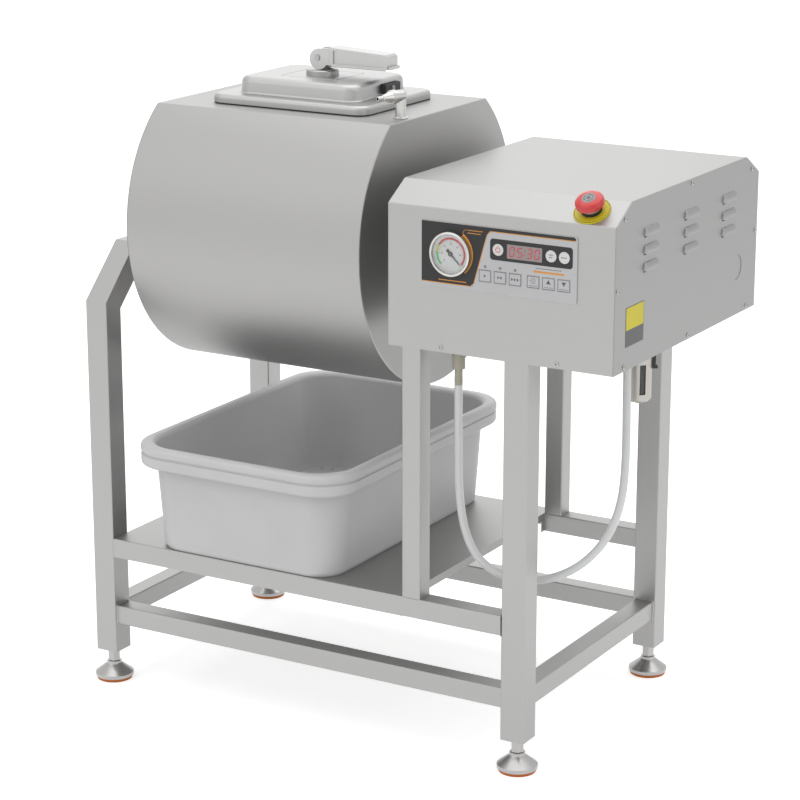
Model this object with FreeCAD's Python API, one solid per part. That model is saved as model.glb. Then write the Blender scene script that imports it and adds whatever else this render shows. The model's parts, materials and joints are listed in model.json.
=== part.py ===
import FreeCAD, Part
import math
import os

# Vacuum tumbler for meat: a steel frame on four levelling feet carries a sealed drum with a clamped lid,
# a control box that holds the gearmotor and the vacuum pump, and a shelf with a drip tub.
# Millimetres. X runs along the drum, -Y is the operator's side, Z is up from the floor.
# The origin is on the floor, under the middle of the machine.

V = FreeCAD.Vector
X, Y, Z = V(1, 0, 0), V(0, 1, 0), V(0, 0, 1)
ORIGIN = V(0, 0, 0)

# ---------------------------------------------------------------- driving dimensions
# Frame
FRAME_LEFT = -440.0
FRAME_LENGTH = 756.0
FRAME_DEPTH = 480.0
TUBE = 38.0
SMALL_TUBE = 30.0
TUBE_WALL = 1.5
TUBE_CORNER = 2.0
FOOT_HEIGHT = 50.0
STEM_RADIUS = 6.0
PLUG_DEPTH = 14.0
ARCH_RUN = 80.0
INNER_LEG_X = 115.0
MID_RAIL_TOP = 238.0
LOW_RAIL_TOP = 127.0
SHELF_SHEET = 1.5
SHELF_LIP = 30.0
SHELF_END_LIP = 12.0

# Drum and its shaft
AXIS_Z = 725.0
DRUM_X = -163.5
DRUM_LENGTH = 405.0
DRUM_RADIUS = 230.0
DRUM_FLAT = 180.5
DRUM_SHEET = 2.0
SHAFT_RADIUS = 10.0
SHAFT_GAP = 0.05
BEARING_HEIGHT = 33.3
HUB_FLANGE_RADIUS = 45.0
HUB_FLANGE_DEPTH = 8.0
FLANGE_BOLT_Y = 45.0
PILLOW_BOLT_Y = 47.5
BEARING_BOLT_RADIUS = 5.0
PILLOW_RADIUS = 31.0
PILLOW_WIDTH = 30.0
PILLOW_FOOT = 13.0
FLANGE_PLATE = 12.0
HUB_RADIUS = 25.0
HUB_DEPTH = 18.0
JAW_DEPTH = 10.0
GEARBOX_LENGTH = 76.0
GEARBOX_HALF = 52.0
MOTOR_RADIUS = 48.0
MOTOR_LENGTH = 146.0
FIN_COUNT = 10

# Opening in the drum and its lid
OPENING_LENGTH = 196.0
OPENING_WIDTH = 146.0
OPENING_CORNER = 22.0
OPENING_DEPTH = 18.0
OPENING_SHEET = 3.0
ELBOW_X = 22.0
ELBOW_Y = -84.0
ELBOW_RISE = 33.0
ELBOW_TURN = 16.0
LUG_REACH = 48.0
LUG_WIDTH = 60.0
LUG_SHEET = 6.0
LID_LENGTH = 272.0
LID_WIDTH = 211.0
LID_RIM_HEIGHT = 12.5
LID_CROWN_LENGTH = 208.0
LID_CROWN_WIDTH = 158.0
LID_CROWN_HEIGHT = 25.0
LID_SHEET = 1.5
LID_CORNER = 22.0
LID_RIM_EDGE = 3.5
LID_CROWN_EDGE = 8.5
LID_PANEL_LENGTH = 98.0
LID_PANEL_WIDTH = 82.0
GASKET_THICKNESS = 2.0
GASKET_WIDTH = 15.0
RELEASE_Y = 17.5

# Cam clamp on the lid
SPIGOT_RADIUS = 10.0
DISC_RADIUS = 24.5
DISC_HEIGHT = 9.0
ROD_RADIUS = 6.0
CAM_RADIUS = 15.5
CAM_THROW = 3.0
CAM_GAP = 0.3
CHEEK_INNER = 9.0
CHEEK_OUTER = 15.0
CHEEK_RECESS = 2.0
CLAMP_PIN_RADIUS = 4.5
LEVER_REACH = 122.0
CROSSBAR_LENGTH = 134.0
CROSSBAR_WIDTH = 24.0
CROSSBAR_HEIGHT = 8.0

# Control box
BOX_LEFT = 94.0
BOX_RIGHT = 446.0
BOX_BOTTOM = 612.0
BOX_TOP = 844.0
BOX_DEPTH = 483.0
CHAMFER_RUN = 46.5
CHAMFER_RISE = 27.8
SHEET = 1.5
END_WALL = 4.0
RETURN_FLANGE = 12.0
BEND = 3.0
FLOOR_LIP = 15.0
SCREW_EDGE = 6.5
SCREW_HEAD_RADIUS = 3.6
SCREW_HEAD_HEIGHT = 2.0
FRONT_SCREWS = [(178.4, 618.5), (359.7, 618.5)]
KNOCKOUT_Y = 168.0
KNOCKOUT_Z = 684.6
KNOCKOUT_RADIUS = 19.0
KNOCKOUT_DEPTH = 0.6

# Vacuum pump on the floor pan
PUMP_X = 337.0
PUMP_Y = -135.0
PUMP_LENGTH = 150.0
PUMP_BASE = 5.0
PUMP_CAN_RADIUS = 34.0
PUMP_HEIGHT = 90.0

# Louvres of the side panel
LOUVRE_COLUMNS = 3
LOUVRE_ROWS = 3
LOUVRE_COLUMN_PITCH = 132.5
LOUVRE_ROW_PITCH = 24.3
LOUVRE_FIRST_Z = 746.0
LOUVRE_LENGTH = 46.0
LOUVRE_HEIGHT = 14.0
LOUVRE_REACH = 5.0
LOUVRE_WALL = 1.2

# Control panel on the front face
PANEL_X = 268.8
PANEL_Z = 751.8
PANEL_WIDTH = 240.5
PANEL_HEIGHT = 91.7
PANEL_THICKNESS = 1.6
GAUGE_X = 195.4
GAUGE_Z = 754.4
GAUGE_RADIUS = 32.0
GAUGE_HOLE = 28.95
GAUGE_DIAL = 28.0
DISPLAY_X = 309.3
DISPLAY_Z = 767.5
DISPLAY_WIDTH = 54.0
DISPLAY_HEIGHT = 20.0
BOARD_LEFT = 242.0
BOARD_BOTTOM = 712.0
BOARD_WIDTH = 150.0
BOARD_HEIGHT = 80.0
BOARD_FACE = -233.0
BOARD_THICKNESS = 1.6
KEY_GAP = 0.3
KEY_THICKNESS = 1.2
KEY_PROUD = 0.5
ROUND_KEY_RADIUS = 8.2
SQUARE_KEY_WIDTH = 19.0
SQUARE_KEY_HEIGHT = 17.0

# Emergency stop on the front chamfer
ESTOP_X = 398.0
ESTOP_HEAD_RADIUS = 20.25
PLUNGER_RADIUS = 7.0

# Moisture filter, hose and fittings under the box
FILTER_X = 380.0
FILTER_Y = -20.0
FILTER_HEAD_BOTTOM = 590.0
FILTER_BOTTOM = 518.0
GUARD_RADIUS = 19.0
SLOT_AZIMUTH = -45.4
LOCK_AZIMUTH = 30.4
HOSE_RADIUS = 6.0
COUPLER_X = 182.4
COUPLER_Y = -196.0
SOCKET_X = 381.0
SOCKET_Y = -60.0
SOCKET_BOTTOM = 590.0
COUPLER_TAIL_Z = 555.0
COUPLER_TOP = 610.0
COUPLER_RADIUS = 9.5
STUD_RADIUS = 4.0
STUD_BOTTOM = 590.0
GLAND_X = 300.0
GLAND_Z = 650.0

# Drip tub
TUB_X = -167.0
TUB_BASE_LENGTH = 318.0
TUB_BASE_DEPTH = 478.0
TUB_DRAFT = 11.0
TUB_RIM_OVERHANG = 30.0
TUB_WALL = 3.0
TUB_RIM_TOP = 405.0
TUB_LEDGE_BOTTOM = 371.0
TUB_LEDGE_TOP = 389.0
TUB_CORNER = 46.0
TUB_FLOOR = 10.0
TUB_DRAINS = [(-302.0, 208.0), (-284.0, 213.0)]

# ---------------------------------------------------------------- places that follow from them
FRAME_RIGHT = FRAME_LEFT + FRAME_LENGTH
FRONT = -FRAME_DEPTH / 2
REAR = FRAME_DEPTH / 2
LEG_LINE = FRAME_DEPTH / 2 - TUBE / 2
ARCH_TOP = AXIS_Z - BEARING_HEIGHT
ARCH_KNEE = ARCH_TOP - ARCH_RUN
LEFT_LEG_X = FRAME_LEFT + TUBE / 2
RIGHT_LEG_X = FRAME_RIGHT - TUBE / 2
DRUM_LEFT = DRUM_X - DRUM_LENGTH / 2
DRUM_RIGHT = DRUM_X + DRUM_LENGTH / 2
FLAT_Z = AXIS_Z + DRUM_FLAT
LID_BOTTOM = FLAT_Z + GASKET_THICKNESS
LID_RIM_TOP = LID_BOTTOM + LID_RIM_HEIGHT
LID_TOP = LID_RIM_TOP + LID_CROWN_HEIGHT
DISC_TOP = LID_TOP + DISC_HEIGHT
RELEASE_Z = LID_RIM_TOP + 12.0
RELEASE_FACE = DRUM_X + LID_CROWN_LENGTH / 2
CAM_OFFSET = CAM_THROW * math.sin(math.pi / 4)
CLAMP_PIN_Z = DISC_TOP + CAM_GAP + CAM_RADIUS + CAM_OFFSET
LUG_BOTTOM = FLAT_Z - DRUM_SHEET - OPENING_DEPTH
CROSSBAR_TOP = LUG_BOTTOM - CAM_GAP
BOX_FRONT = -BOX_DEPTH / 2
BOX_REAR = BOX_DEPTH / 2
PANEL_FACE = BOX_FRONT - PANEL_THICKNESS
CHAMFER_SLOPE = math.atan2(CHAMFER_RISE, CHAMFER_RUN)
BEARING_X = BOX_LEFT + END_WALL
COUPLING_X = BEARING_X + 26.0
GEARBOX_X = COUPLING_X + 2 * HUB_DEPTH + JAW_DEPTH + 4.0
SHELF_RIGHT = INNER_LEG_X
SHELF_LEFT = FRAME_LEFT + TUBE
TUB_BASE_Z = MID_RAIL_TOP + 0.3

# Keys of the panel: name, centre x, centre z, round or square
KEYS = [
    ("key_power", 268.7, 768.0, "round"),
    ("key_set", 349.8, 768.0, "round"),
    ("key_start", 369.8, 768.0, "round"),
    ("key_slow", 248.9, 729.4, "square"),
    ("key_medium", 272.2, 729.4, "square"),
    ("key_fast", 295.5, 729.4, "square"),
    ("key_mode", 323.2, 729.4, "square"),
    ("key_up", 346.5, 729.4, "square"),
    ("key_down", 369.8, 729.4, "square"),
]

# Route of the vacuum hose, from the parked coupler to the socket under the box
HOSE_ROUTE = [
    (182.4, -196.0, 555.0),
    (182.4, -196.0, 492.0),
    (184.0, -195.4, 370.0),
    (204.0, -190.0, 303.0),
    (243.0, -177.0, 271.5),
    (298.0, -161.0, 269.0),
    (348.0, -146.0, 291.0),
    (383.0, -125.0, 331.0),
    (396.5, -103.0, 381.0),
    (394.5, -85.0, 440.0),
    (381.0, -60.0, 548.0),
    (381.0, -60.0, 590.0),
]


# ---------------------------------------------------------------- shape helpers
def placed(shape, start, axis=Z):
    """Move a shape built at the origin along +Z to start, with its Z turned to axis."""
    moved = shape.copy()
    moved.Placement = FreeCAD.Placement(start, FreeCAD.Rotation(Z, axis)).multiply(moved.Placement)
    return moved


def block(x0, x1, y0, y1, z0, z1):
    return Part.makeBox(x1 - x0, y1 - y0, z1 - z0, V(x0, y0, z0))


def rod(radius, start, axis, length):
    return Part.makeCylinder(radius, length, start, axis)


def pipe(outer, inner, start, axis, length):
    return rod(outer, start, axis, length).cut(rod(inner, start, axis, length))


def turned(profile, start=ORIGIN, axis=Z):
    """Solid turned from a closed outline of (radius, height) points."""
    points = [V(radius, 0, height) for radius, height in profile]
    face = Part.Face(Part.makePolygon(points + points[:1]))
    return placed(face.revolve(ORIGIN, Z, 360), start, axis)


def prism_x(outline, x0, x1):
    """Prism along X from an outline of (y, z) points."""
    points = [V(x0, y, z) for y, z in outline]
    face = Part.Face(Part.makePolygon(points + points[:1]))
    return face.extrude(V(x1 - x0, 0, 0))


def prism_y(outline, y0, y1):
    """Prism along Y from an outline of (x, z) points."""
    points = [V(x, y0, z) for x, z in outline]
    face = Part.Face(Part.makePolygon(points + points[:1]))
    return face.extrude(V(0, y1 - y0, 0))


def hexagon(across_flats, start, axis, length):
    radius = across_flats / math.sqrt(3)
    corners = [V(radius * math.cos(math.radians(60 * i)), radius * math.sin(math.radians(60 * i)), 0)
               for i in range(6)]
    face = Part.Face(Part.makePolygon(corners + corners[:1]))
    return placed(face.extrude(V(0, 0, length)), start, axis)


def edges_along(shape, axis, test=None):
    """Straight edges of a shape that run along an axis, and pass a test on their middle point."""
    found = []
    for edge in shape.Edges:
        if len(edge.Vertexes) != 2:
            continue
        run = edge.Vertexes[1].Point - edge.Vertexes[0].Point
        if run.Length < 1e-6 or abs(run.Length - edge.Length) > 1e-6:
            continue
        if abs(abs(run.dot(axis)) - run.Length) > 1e-6:
            continue
        if test is None or test(edge.CenterOfMass):
            found.append(edge)
    return found


def edges_at_height(shape, z):
    """Edges of a shape that lie all over in the level plane z."""
    return [edge for edge in shape.Edges
            if abs(edge.BoundBox.ZMin - z) < 1e-6 and abs(edge.BoundBox.ZMax - z) < 1e-6]


def rounded_block(length, width, corner, z0, z1, x=0.0, y=0.0):
    """Upright block with rounded upright edges, centred on x, y."""
    solid = block(x - length / 2, x + length / 2, y - width / 2, y + width / 2, z0, z1)
    return solid.makeFillet(corner, edges_along(solid, Z))


def front_plate(width, height, corner, y0, y1, x, z):
    """Plate that faces -Y, with rounded corners, from y0 back to y1."""
    return rounded_block(width, height, corner, -y1, -y0, x, z).rotated(ORIGIN, X, 90)


def square_tube(side, start, axis, length):
    """Hollow square tube with rounded edges, from the centre of its first end."""
    outer = block(-side / 2, side / 2, -side / 2, side / 2, 0, length)
    outer = outer.makeFillet(TUBE_CORNER, edges_along(outer, Z))
    bore = side / 2 - TUBE_WALL
    return placed(outer.cut(block(-bore, bore, -bore, bore, 0, length)), start, axis)


def rounded_ring(outer_length, outer_width, outer_corner, band, z0, z1, x, y=0.0):
    """Upright ring between two rounded rectangles, band wide all round."""
    outer = rounded_block(outer_length, outer_width, outer_corner, z0, z1, x, y)
    inner = rounded_block(outer_length - 2 * band, outer_width - 2 * band, outer_corner - band, z0, z1, x, y)
    return outer.cut(inner)


def group(solids):
    return Part.makeCompound(solids)


# ---------------------------------------------------------------- frame
def arch_corners():
    """Outer and inner corner points (y, z) of the bent left portal, from the front foot to the rear foot."""
    mitre = TUBE * math.tan(math.radians(22.5))
    outer = [(FRONT, FOOT_HEIGHT), (FRONT, ARCH_KNEE), (FRONT + ARCH_RUN, ARCH_TOP)]
    inner = [(FRONT + TUBE, FOOT_HEIGHT), (FRONT + TUBE, ARCH_KNEE - mitre),
             (FRONT + ARCH_RUN + mitre, ARCH_TOP - TUBE)]
    outer += [(-y, z) for y, z in reversed(outer)]
    inner += [(-y, z) for y, z in reversed(inner)]
    return outer, inner


def between(a, b, share):
    return (a[0] + (b[0] - a[0]) * share, a[1] + (b[1] - a[1]) * share)


def arch_tube(number):
    """One straight tube of the left portal, with mitred ends and rounded long edges."""
    outer, inner = arch_corners()
    a, b, c, d = outer[number], outer[number + 1], inner[number + 1], inner[number]
    solid = prism_x([a, b, c, d], FRAME_LEFT, FRAME_LEFT + TUBE)
    run = V(0, b[0] - a[0], b[1] - a[1]).normalize()
    solid = solid.makeFillet(TUBE_CORNER, edges_along(solid, run))
    thin = TUBE_WALL / TUBE
    bore = [between(a, d, thin), between(b, c, thin), between(b, c, 1 - thin), between(a, d, 1 - thin)]
    return solid.cut(prism_x(bore, FRAME_LEFT + TUBE_WALL, FRAME_LEFT + TUBE - TUBE_WALL))


def left_legs():
    return group([arch_tube(0), arch_tube(4)])


def left_arch():
    return group([arch_tube(number) for number in (1, 2, 3)])


def right_legs():
    return group([square_tube(TUBE, V(RIGHT_LEG_X, side * LEG_LINE, FOOT_HEIGHT), Z, BOX_BOTTOM - FOOT_HEIGHT)
                  for side in (-1, 1)])


def inner_legs():
    line = FRAME_DEPTH / 2 - SMALL_TUBE / 2
    return group([square_tube(SMALL_TUBE, V(INNER_LEG_X + SMALL_TUBE / 2, side * line, MID_RAIL_TOP), Z,
                              BOX_BOTTOM - MID_RAIL_TOP) for side in (-1, 1)])


def mid_rails():
    line = FRAME_DEPTH / 2 - SMALL_TUBE / 2
    level = MID_RAIL_TOP - SMALL_TUBE / 2
    length = FRAME_RIGHT - TUBE - INNER_LEG_X
    return group([square_tube(SMALL_TUBE, V(INNER_LEG_X, side * line, level), X, length) for side in (-1, 1)])


def low_rails():
    level = LOW_RAIL_TOP - SMALL_TUBE / 2
    along = FRAME_LENGTH - 2 * TUBE
    across = FRAME_DEPTH - 2 * TUBE
    rails = [square_tube(SMALL_TUBE, V(SHELF_LEFT, side * LEG_LINE, level), X, along) for side in (-1, 1)]
    rails += [square_tube(SMALL_TUBE, V(x, -across / 2, level), Y, across) for x in (LEFT_LEG_X, RIGHT_LEG_X)]
    return group(rails)


def shelf():
    """Folded shelf pan, flush with the legs, with a hat stiffener under its middle."""
    bottom = MID_RAIL_TOP - SHELF_LIP
    solid = block(SHELF_LEFT, SHELF_RIGHT, FRONT, REAR, bottom, MID_RAIL_TOP)
    solid = solid.makeFillet(TUBE_CORNER, edges_along(solid, X, lambda p: p.z > bottom + 1))
    solid = solid.cut(block(SHELF_LEFT + SHELF_SHEET, SHELF_RIGHT - SHELF_SHEET, FRONT + SHELF_SHEET,
                            REAR - SHELF_SHEET, bottom, MID_RAIL_TOP - SHELF_SHEET))
    end_bottom = MID_RAIL_TOP - SHELF_END_LIP
    for x in (SHELF_LEFT - 1, SHELF_RIGHT - SHELF_SHEET - 1):
        solid = solid.cut(block(x, x + SHELF_SHEET + 2, FRONT + TUBE, REAR - TUBE, bottom - 1, end_bottom))
    centre = (SHELF_LEFT + SHELF_RIGHT) / 2
    under = MID_RAIL_TOP - SHELF_SHEET
    inside = REAR - SHELF_SHEET
    hat = block(centre - 30, centre + 30, -inside, inside, under - 22, under)
    hat = hat.cut(block(centre - 30 + SHELF_SHEET, centre + 30 - SHELF_SHEET, -inside, inside,
                        under - 22 + SHELF_SHEET, under))
    return solid.fuse(hat)


# ---------------------------------------------------------------- feet
LEG_CENTRES = {
    "front_left": (LEFT_LEG_X, -LEG_LINE),
    "rear_left": (LEFT_LEG_X, LEG_LINE),
    "front_right": (RIGHT_LEG_X, -LEG_LINE),
    "rear_right": (RIGHT_LEG_X, LEG_LINE),
}


def leg_plugs():
    """Threaded plugs welded into the bottoms of the four legs."""
    side = TUBE / 2 - TUBE_WALL
    plugs = []
    for x, y in LEG_CENTRES.values():
        plug = block(x - side, x + side, y - side, y + side, FOOT_HEIGHT, FOOT_HEIGHT + PLUG_DEPTH)
        plugs.append(plug.cut(rod(STEM_RADIUS + SHAFT_GAP, V(x, y, FOOT_HEIGHT), Z, PLUG_DEPTH)))
    return group(plugs)


def foot(place):
    """Levelling foot: bell, hexagon and stem in one, on a separate pad."""
    x, y = LEG_CENTRES[place]
    pad = rod(25, ORIGIN, Z, 4)
    bell = turned([(0, 4), (30, 4), (30, 10.5), (11.5, 25), (11.5, 29), (0, 29)])
    stem = rod(STEM_RADIUS, V(0, 0, 29), Z, 56)
    nut = hexagon(17, V(0, 0, 29), Z, 20.7)
    base = V(x, y, 0)
    return group([placed(bell.fuse(nut).fuse(stem), base), placed(pad, base)])


# ---------------------------------------------------------------- control box
def box_outline(inset):
    """Outline (y, z) across the control box, set in from its outer faces but not from its open bottom."""
    side = BOX_DEPTH / 2 - inset
    shoulder = BOX_TOP - CHAMFER_RISE - inset * math.tan((math.pi / 2 - CHAMFER_SLOPE) / 2)
    ridge = BOX_DEPTH / 2 - CHAMFER_RUN - inset * math.tan(CHAMFER_SLOPE / 2)
    top = BOX_TOP - inset
    return [(-side, BOX_BOTTOM), (-side, shoulder), (-ridge, top),
            (ridge, top), (side, shoulder), (side, BOX_BOTTOM)]


def box_form(inset, x0, x1, bend):
    """Solid of the box's outline with its four long bends rounded."""
    solid = prism_x(box_outline(inset), x0, x1)
    return solid.makeFillet(bend, edges_along(solid, X, lambda p: p.z > BOX_BOTTOM + 1))


def on_chamfer(shape):
    """Place a shape built on the origin along +Z on the front chamfer, at the emergency stop."""
    middle = V(ESTOP_X, BOX_FRONT + CHAMFER_RUN / 2, BOX_TOP - CHAMFER_RISE / 2)
    normal = V(0, -math.sin(CHAMFER_SLOPE), math.cos(CHAMFER_SLOPE))
    return placed(shape, middle, normal)


def side_screw_places():
    """Centres (y, z) of the side panel's eight screws."""
    side = BOX_DEPTH / 2 - SCREW_EDGE
    low = BOX_BOTTOM + SCREW_EDGE
    upper = BOX_TOP - CHAMFER_RISE / 2 - SCREW_EDGE
    shoulder = BOX_DEPTH / 2 - CHAMFER_RUN / 2 - SCREW_EDGE / 2
    middle = (BOX_BOTTOM + BOX_TOP) / 2
    return [(-side + 25, low), (0, low), (side - 25, low), (-side, middle), (side, middle),
            (-shoulder, upper), (shoulder, upper), (0, BOX_TOP - SCREW_EDGE)]


def box_wrap():
    """Folded sheet over the front, chamfers, top and rear, with a return flange behind the side panel."""
    right = BOX_RIGHT - SHEET
    wrap = box_form(0, BOX_LEFT, right, BEND).cut(box_form(SHEET, BOX_LEFT, right, BEND - SHEET))
    flange = prism_x(box_outline(SHEET), right - SHEET, right)
    flange = flange.cut(prism_x(box_outline(SHEET + RETURN_FLANGE), right - SHEET, right))
    flange = flange.cut(block(right - 5, right + 5, BOX_FRONT, BOX_REAR, BOX_BOTTOM - 1,
                              BOX_BOTTOM + FLOOR_LIP + 1))
    wrap = wrap.fuse(flange)
    wrap = wrap.cut(rod(GAUGE_HOLE + SHAFT_GAP, V(GAUGE_X, BOX_FRONT - 5, GAUGE_Z), Y, 10))
    wrap = wrap.cut(block(DISPLAY_X - DISPLAY_WIDTH / 2, DISPLAY_X + DISPLAY_WIDTH / 2, BOX_FRONT - 5,
                          BOX_FRONT + 5, DISPLAY_Z - DISPLAY_HEIGHT / 2, DISPLAY_Z + DISPLAY_HEIGHT / 2))
    wrap = wrap.cut(rod(9.0, V(GLAND_X, BOX_REAR - 5, GLAND_Z), Y, 10))
    return wrap.cut(on_chamfer(rod(11.0, V(0, 0, -10), Z, 20)))


def box_end_wall():
    """Thick end wall that closes the box on the drum's side and carries the flange bearing."""
    wall = prism_x(box_outline(SHEET), BOX_LEFT, BOX_LEFT + END_WALL)
    wall = wall.makeFillet(1.5, edges_along(wall, X, lambda p: p.z > BOX_BOTTOM + 1))
    wall = wall.cut(block(BOX_LEFT - 1, BOX_LEFT + END_WALL + 1, BOX_FRONT, BOX_REAR, BOX_BOTTOM - 1,
                          BOX_BOTTOM + SHEET))
    wall = wall.cut(rod(SHAFT_RADIUS + 3, V(BOX_LEFT - 1, 0, AXIS_Z), X, END_WALL + 2))
    for side in (-1, 1):
        place = V(BOX_LEFT - 1, side * FLANGE_BOLT_Y, AXIS_Z)
        wall = wall.cut(rod(BEARING_BOLT_RADIUS, place, X, END_WALL + 2))
    return wall


def box_floor():
    """Floor pan of the box with turned-up edges."""
    x0, x1 = BOX_LEFT, BOX_RIGHT - SHEET
    half = BOX_DEPTH / 2 - SHEET
    pan = block(x0, x1, -half, half, BOX_BOTTOM, BOX_BOTTOM + FLOOR_LIP)
    floor, above = BOX_BOTTOM + SHEET, BOX_BOTTOM + FLOOR_LIP + 1
    pan = pan.cut(block(x0 - 1, x1 - SHEET, -half + SHEET, half - SHEET, floor, above))
    return pan.cut(block(x0 - 1, x0 + END_WALL, -half - 1, half + 1, floor, above))


def louvre_section(reach, height, back):
    """Section (x, z) of a hood that leaves the panel at its top and is open at its bottom."""
    return [(reach, 0), (reach * 0.8, height * 0.55), (0, height), (back, height), (back, 0)]


def louvre_hood():
    """Pressed hood: a straight middle with both ends turned round to the panel."""
    straight = LOUVRE_LENGTH / 2 - LOUVRE_REACH
    section = louvre_section(LOUVRE_REACH, LOUVRE_HEIGHT, 0)
    hood = prism_y(section, -straight, straight)
    for side in (-1, 1):
        face = Part.Face(Part.makePolygon([V(x, 0, z) for x, z in section + section[:1]]))
        end = face.revolve(ORIGIN, Z, 90 * side)
        hood = hood.fuse(end.translated(V(0, side * straight, 0)))
    return hood


def louvre_hollow():
    """Space under a hood and through the sheet behind it."""
    straight = LOUVRE_LENGTH / 2 - LOUVRE_REACH
    section = louvre_section(LOUVRE_REACH - LOUVRE_WALL, LOUVRE_HEIGHT - LOUVRE_WALL, -SHEET)
    return prism_y(section, -straight, straight)


def side_panel():
    """Louvred side panel with a shallow round knock-out."""
    panel = box_form(0, BOX_RIGHT - SHEET, BOX_RIGHT, BEND)
    hood = louvre_hood()
    hollow = louvre_hollow()
    for column in range(LOUVRE_COLUMNS):
        for row in range(LOUVRE_ROWS):
            place = V(BOX_RIGHT, (column - (LOUVRE_COLUMNS - 1) / 2) * LOUVRE_COLUMN_PITCH,
                      LOUVRE_FIRST_Z + row * LOUVRE_ROW_PITCH - LOUVRE_HEIGHT / 2)
            panel = panel.fuse(hood.translated(place)).cut(hollow.translated(place))
    return panel.cut(rod(KNOCKOUT_RADIUS, V(BOX_RIGHT - KNOCKOUT_DEPTH, KNOCKOUT_Y, KNOCKOUT_Z), X, 2))


def panel_screws():
    """Heads of the side panel's screws, and of the two in the front face."""
    heads = [rod(SCREW_HEAD_RADIUS, V(BOX_RIGHT, y, z), X, SCREW_HEAD_HEIGHT) for y, z in side_screw_places()]
    heads += [rod(SCREW_HEAD_RADIUS, V(x, BOX_FRONT - SCREW_HEAD_HEIGHT, z), Y, SCREW_HEAD_HEIGHT)
              for x, z in FRONT_SCREWS]
    return group(heads)


def mains_gland():
    """Cable gland on the rear face: hexagon, domed nut, and a lock nut inside."""
    bore = 4.2
    dome = turned([(bore, 5), (11, 5), (11, 13), (7, 18.5), (bore, 18.5)])
    outside = hexagon(23, ORIGIN, Z, 5).cut(rod(bore, V(0, 0, -1), Z, 8)).fuse(dome)
    inside = pipe(9.0, bore, V(0, 0, -14), Z, 14)
    nut = hexagon(24, V(0, 0, -6.5), Z, 5).cut(rod(8.9, V(0, 0, -7), Z, 8))
    return placed(outside.fuse(inside).fuse(nut), V(GLAND_X, BOX_REAR, GLAND_Z), Y)


# ---------------------------------------------------------------- drive
def pillow_block():
    """Pillow block on the left arch: foot with two bolt holes, and a round housing."""
    left, right = LEFT_LEG_X - PILLOW_WIDTH / 2, LEFT_LEG_X + PILLOW_WIDTH / 2
    foot_top = ARCH_TOP + PILLOW_FOOT
    foot_plate = rounded_block(TUBE, 2 * PILLOW_BOLT_Y + 32, 6, ARCH_TOP, foot_top, LEFT_LEG_X)
    housing = rod(PILLOW_RADIUS, V(left, 0, AXIS_Z), X, PILLOW_WIDTH)
    shoulders = prism_x([(-PILLOW_RADIUS - 5, foot_top), (2 - PILLOW_RADIUS, AXIS_Z),
                         (PILLOW_RADIUS - 2, AXIS_Z), (PILLOW_RADIUS + 5, foot_top)], left, right)
    solid = foot_plate.fuse(housing).fuse(shoulders)
    for side in (-1, 1):
        bolt_hole = rod(BEARING_BOLT_RADIUS, V(LEFT_LEG_X, side * PILLOW_BOLT_Y, ARCH_TOP - 1), Z, 20)
        solid = solid.cut(bolt_hole)
    return solid.cut(rod(SHAFT_RADIUS + SHAFT_GAP, V(FRAME_LEFT - 5, 0, AXIS_Z), X, TUBE + 10))


def flange_bearing():
    """Two-bolt flange bearing on the inside of the end wall."""
    plate = rod(30, ORIGIN, X, FLANGE_PLATE)
    for side in (-1, 1):
        ear = side * FLANGE_BOLT_Y
        plate = plate.fuse(rod(12, V(0, ear, 0), X, FLANGE_PLATE))
        plate = plate.fuse(prism_x([(0, -29), (ear, -12), (ear, 12), (0, 29)], 0, FLANGE_PLATE))
    solid = plate.fuse(rod(26, ORIGIN, X, 2 * FLANGE_PLATE)).removeSplitter()
    for side in (-1, 1):
        solid = solid.cut(rod(BEARING_BOLT_RADIUS, V(-1, side * FLANGE_BOLT_Y, 0), X, 20))
    solid = solid.cut(rod(SHAFT_RADIUS + SHAFT_GAP, V(-1, 0, 0), X, 40))
    return solid.translated(V(BEARING_X, 0, AXIS_Z))


def hex_bolt(start, axis, grip):
    """Hexagon bolt, M10: start is under the head, axis points out of the head."""
    shank = rod(BEARING_BOLT_RADIUS, ORIGIN, V(0, 0, -1), grip)
    return placed(hexagon(17, ORIGIN, Z, 6.4).fuse(shank), start, axis)


def bearing_bolts():
    """Bolts of the pillow block and of the flange bearing."""
    bolts = []
    for side in (-1, 1):
        bolts.append(hex_bolt(V(LEFT_LEG_X, side * PILLOW_BOLT_Y, ARCH_TOP + PILLOW_FOOT), Z, PILLOW_FOOT))
        bolts.append(hex_bolt(V(BEARING_X + FLANGE_PLATE, side * FLANGE_BOLT_Y, AXIS_Z), X,
                              FLANGE_PLATE + END_WALL))
    return group(bolts)


def shaft_coupling():
    """Coupling between the drum shaft and the gearbox: two hubs and the flexible spider between them."""
    middle = COUPLING_X + HUB_DEPTH
    bore = rod(SHAFT_RADIUS, V(COUPLING_X, 0, AXIS_Z), X, 2 * HUB_DEPTH + JAW_DEPTH)
    hubs = [rod(HUB_RADIUS, V(x, 0, AXIS_Z), X, HUB_DEPTH).cut(bore)
            for x in (COUPLING_X, middle + JAW_DEPTH)]
    return group(hubs + [rod(HUB_RADIUS - 2, V(middle, 0, AXIS_Z), X, JAW_DEPTH)])


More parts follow.
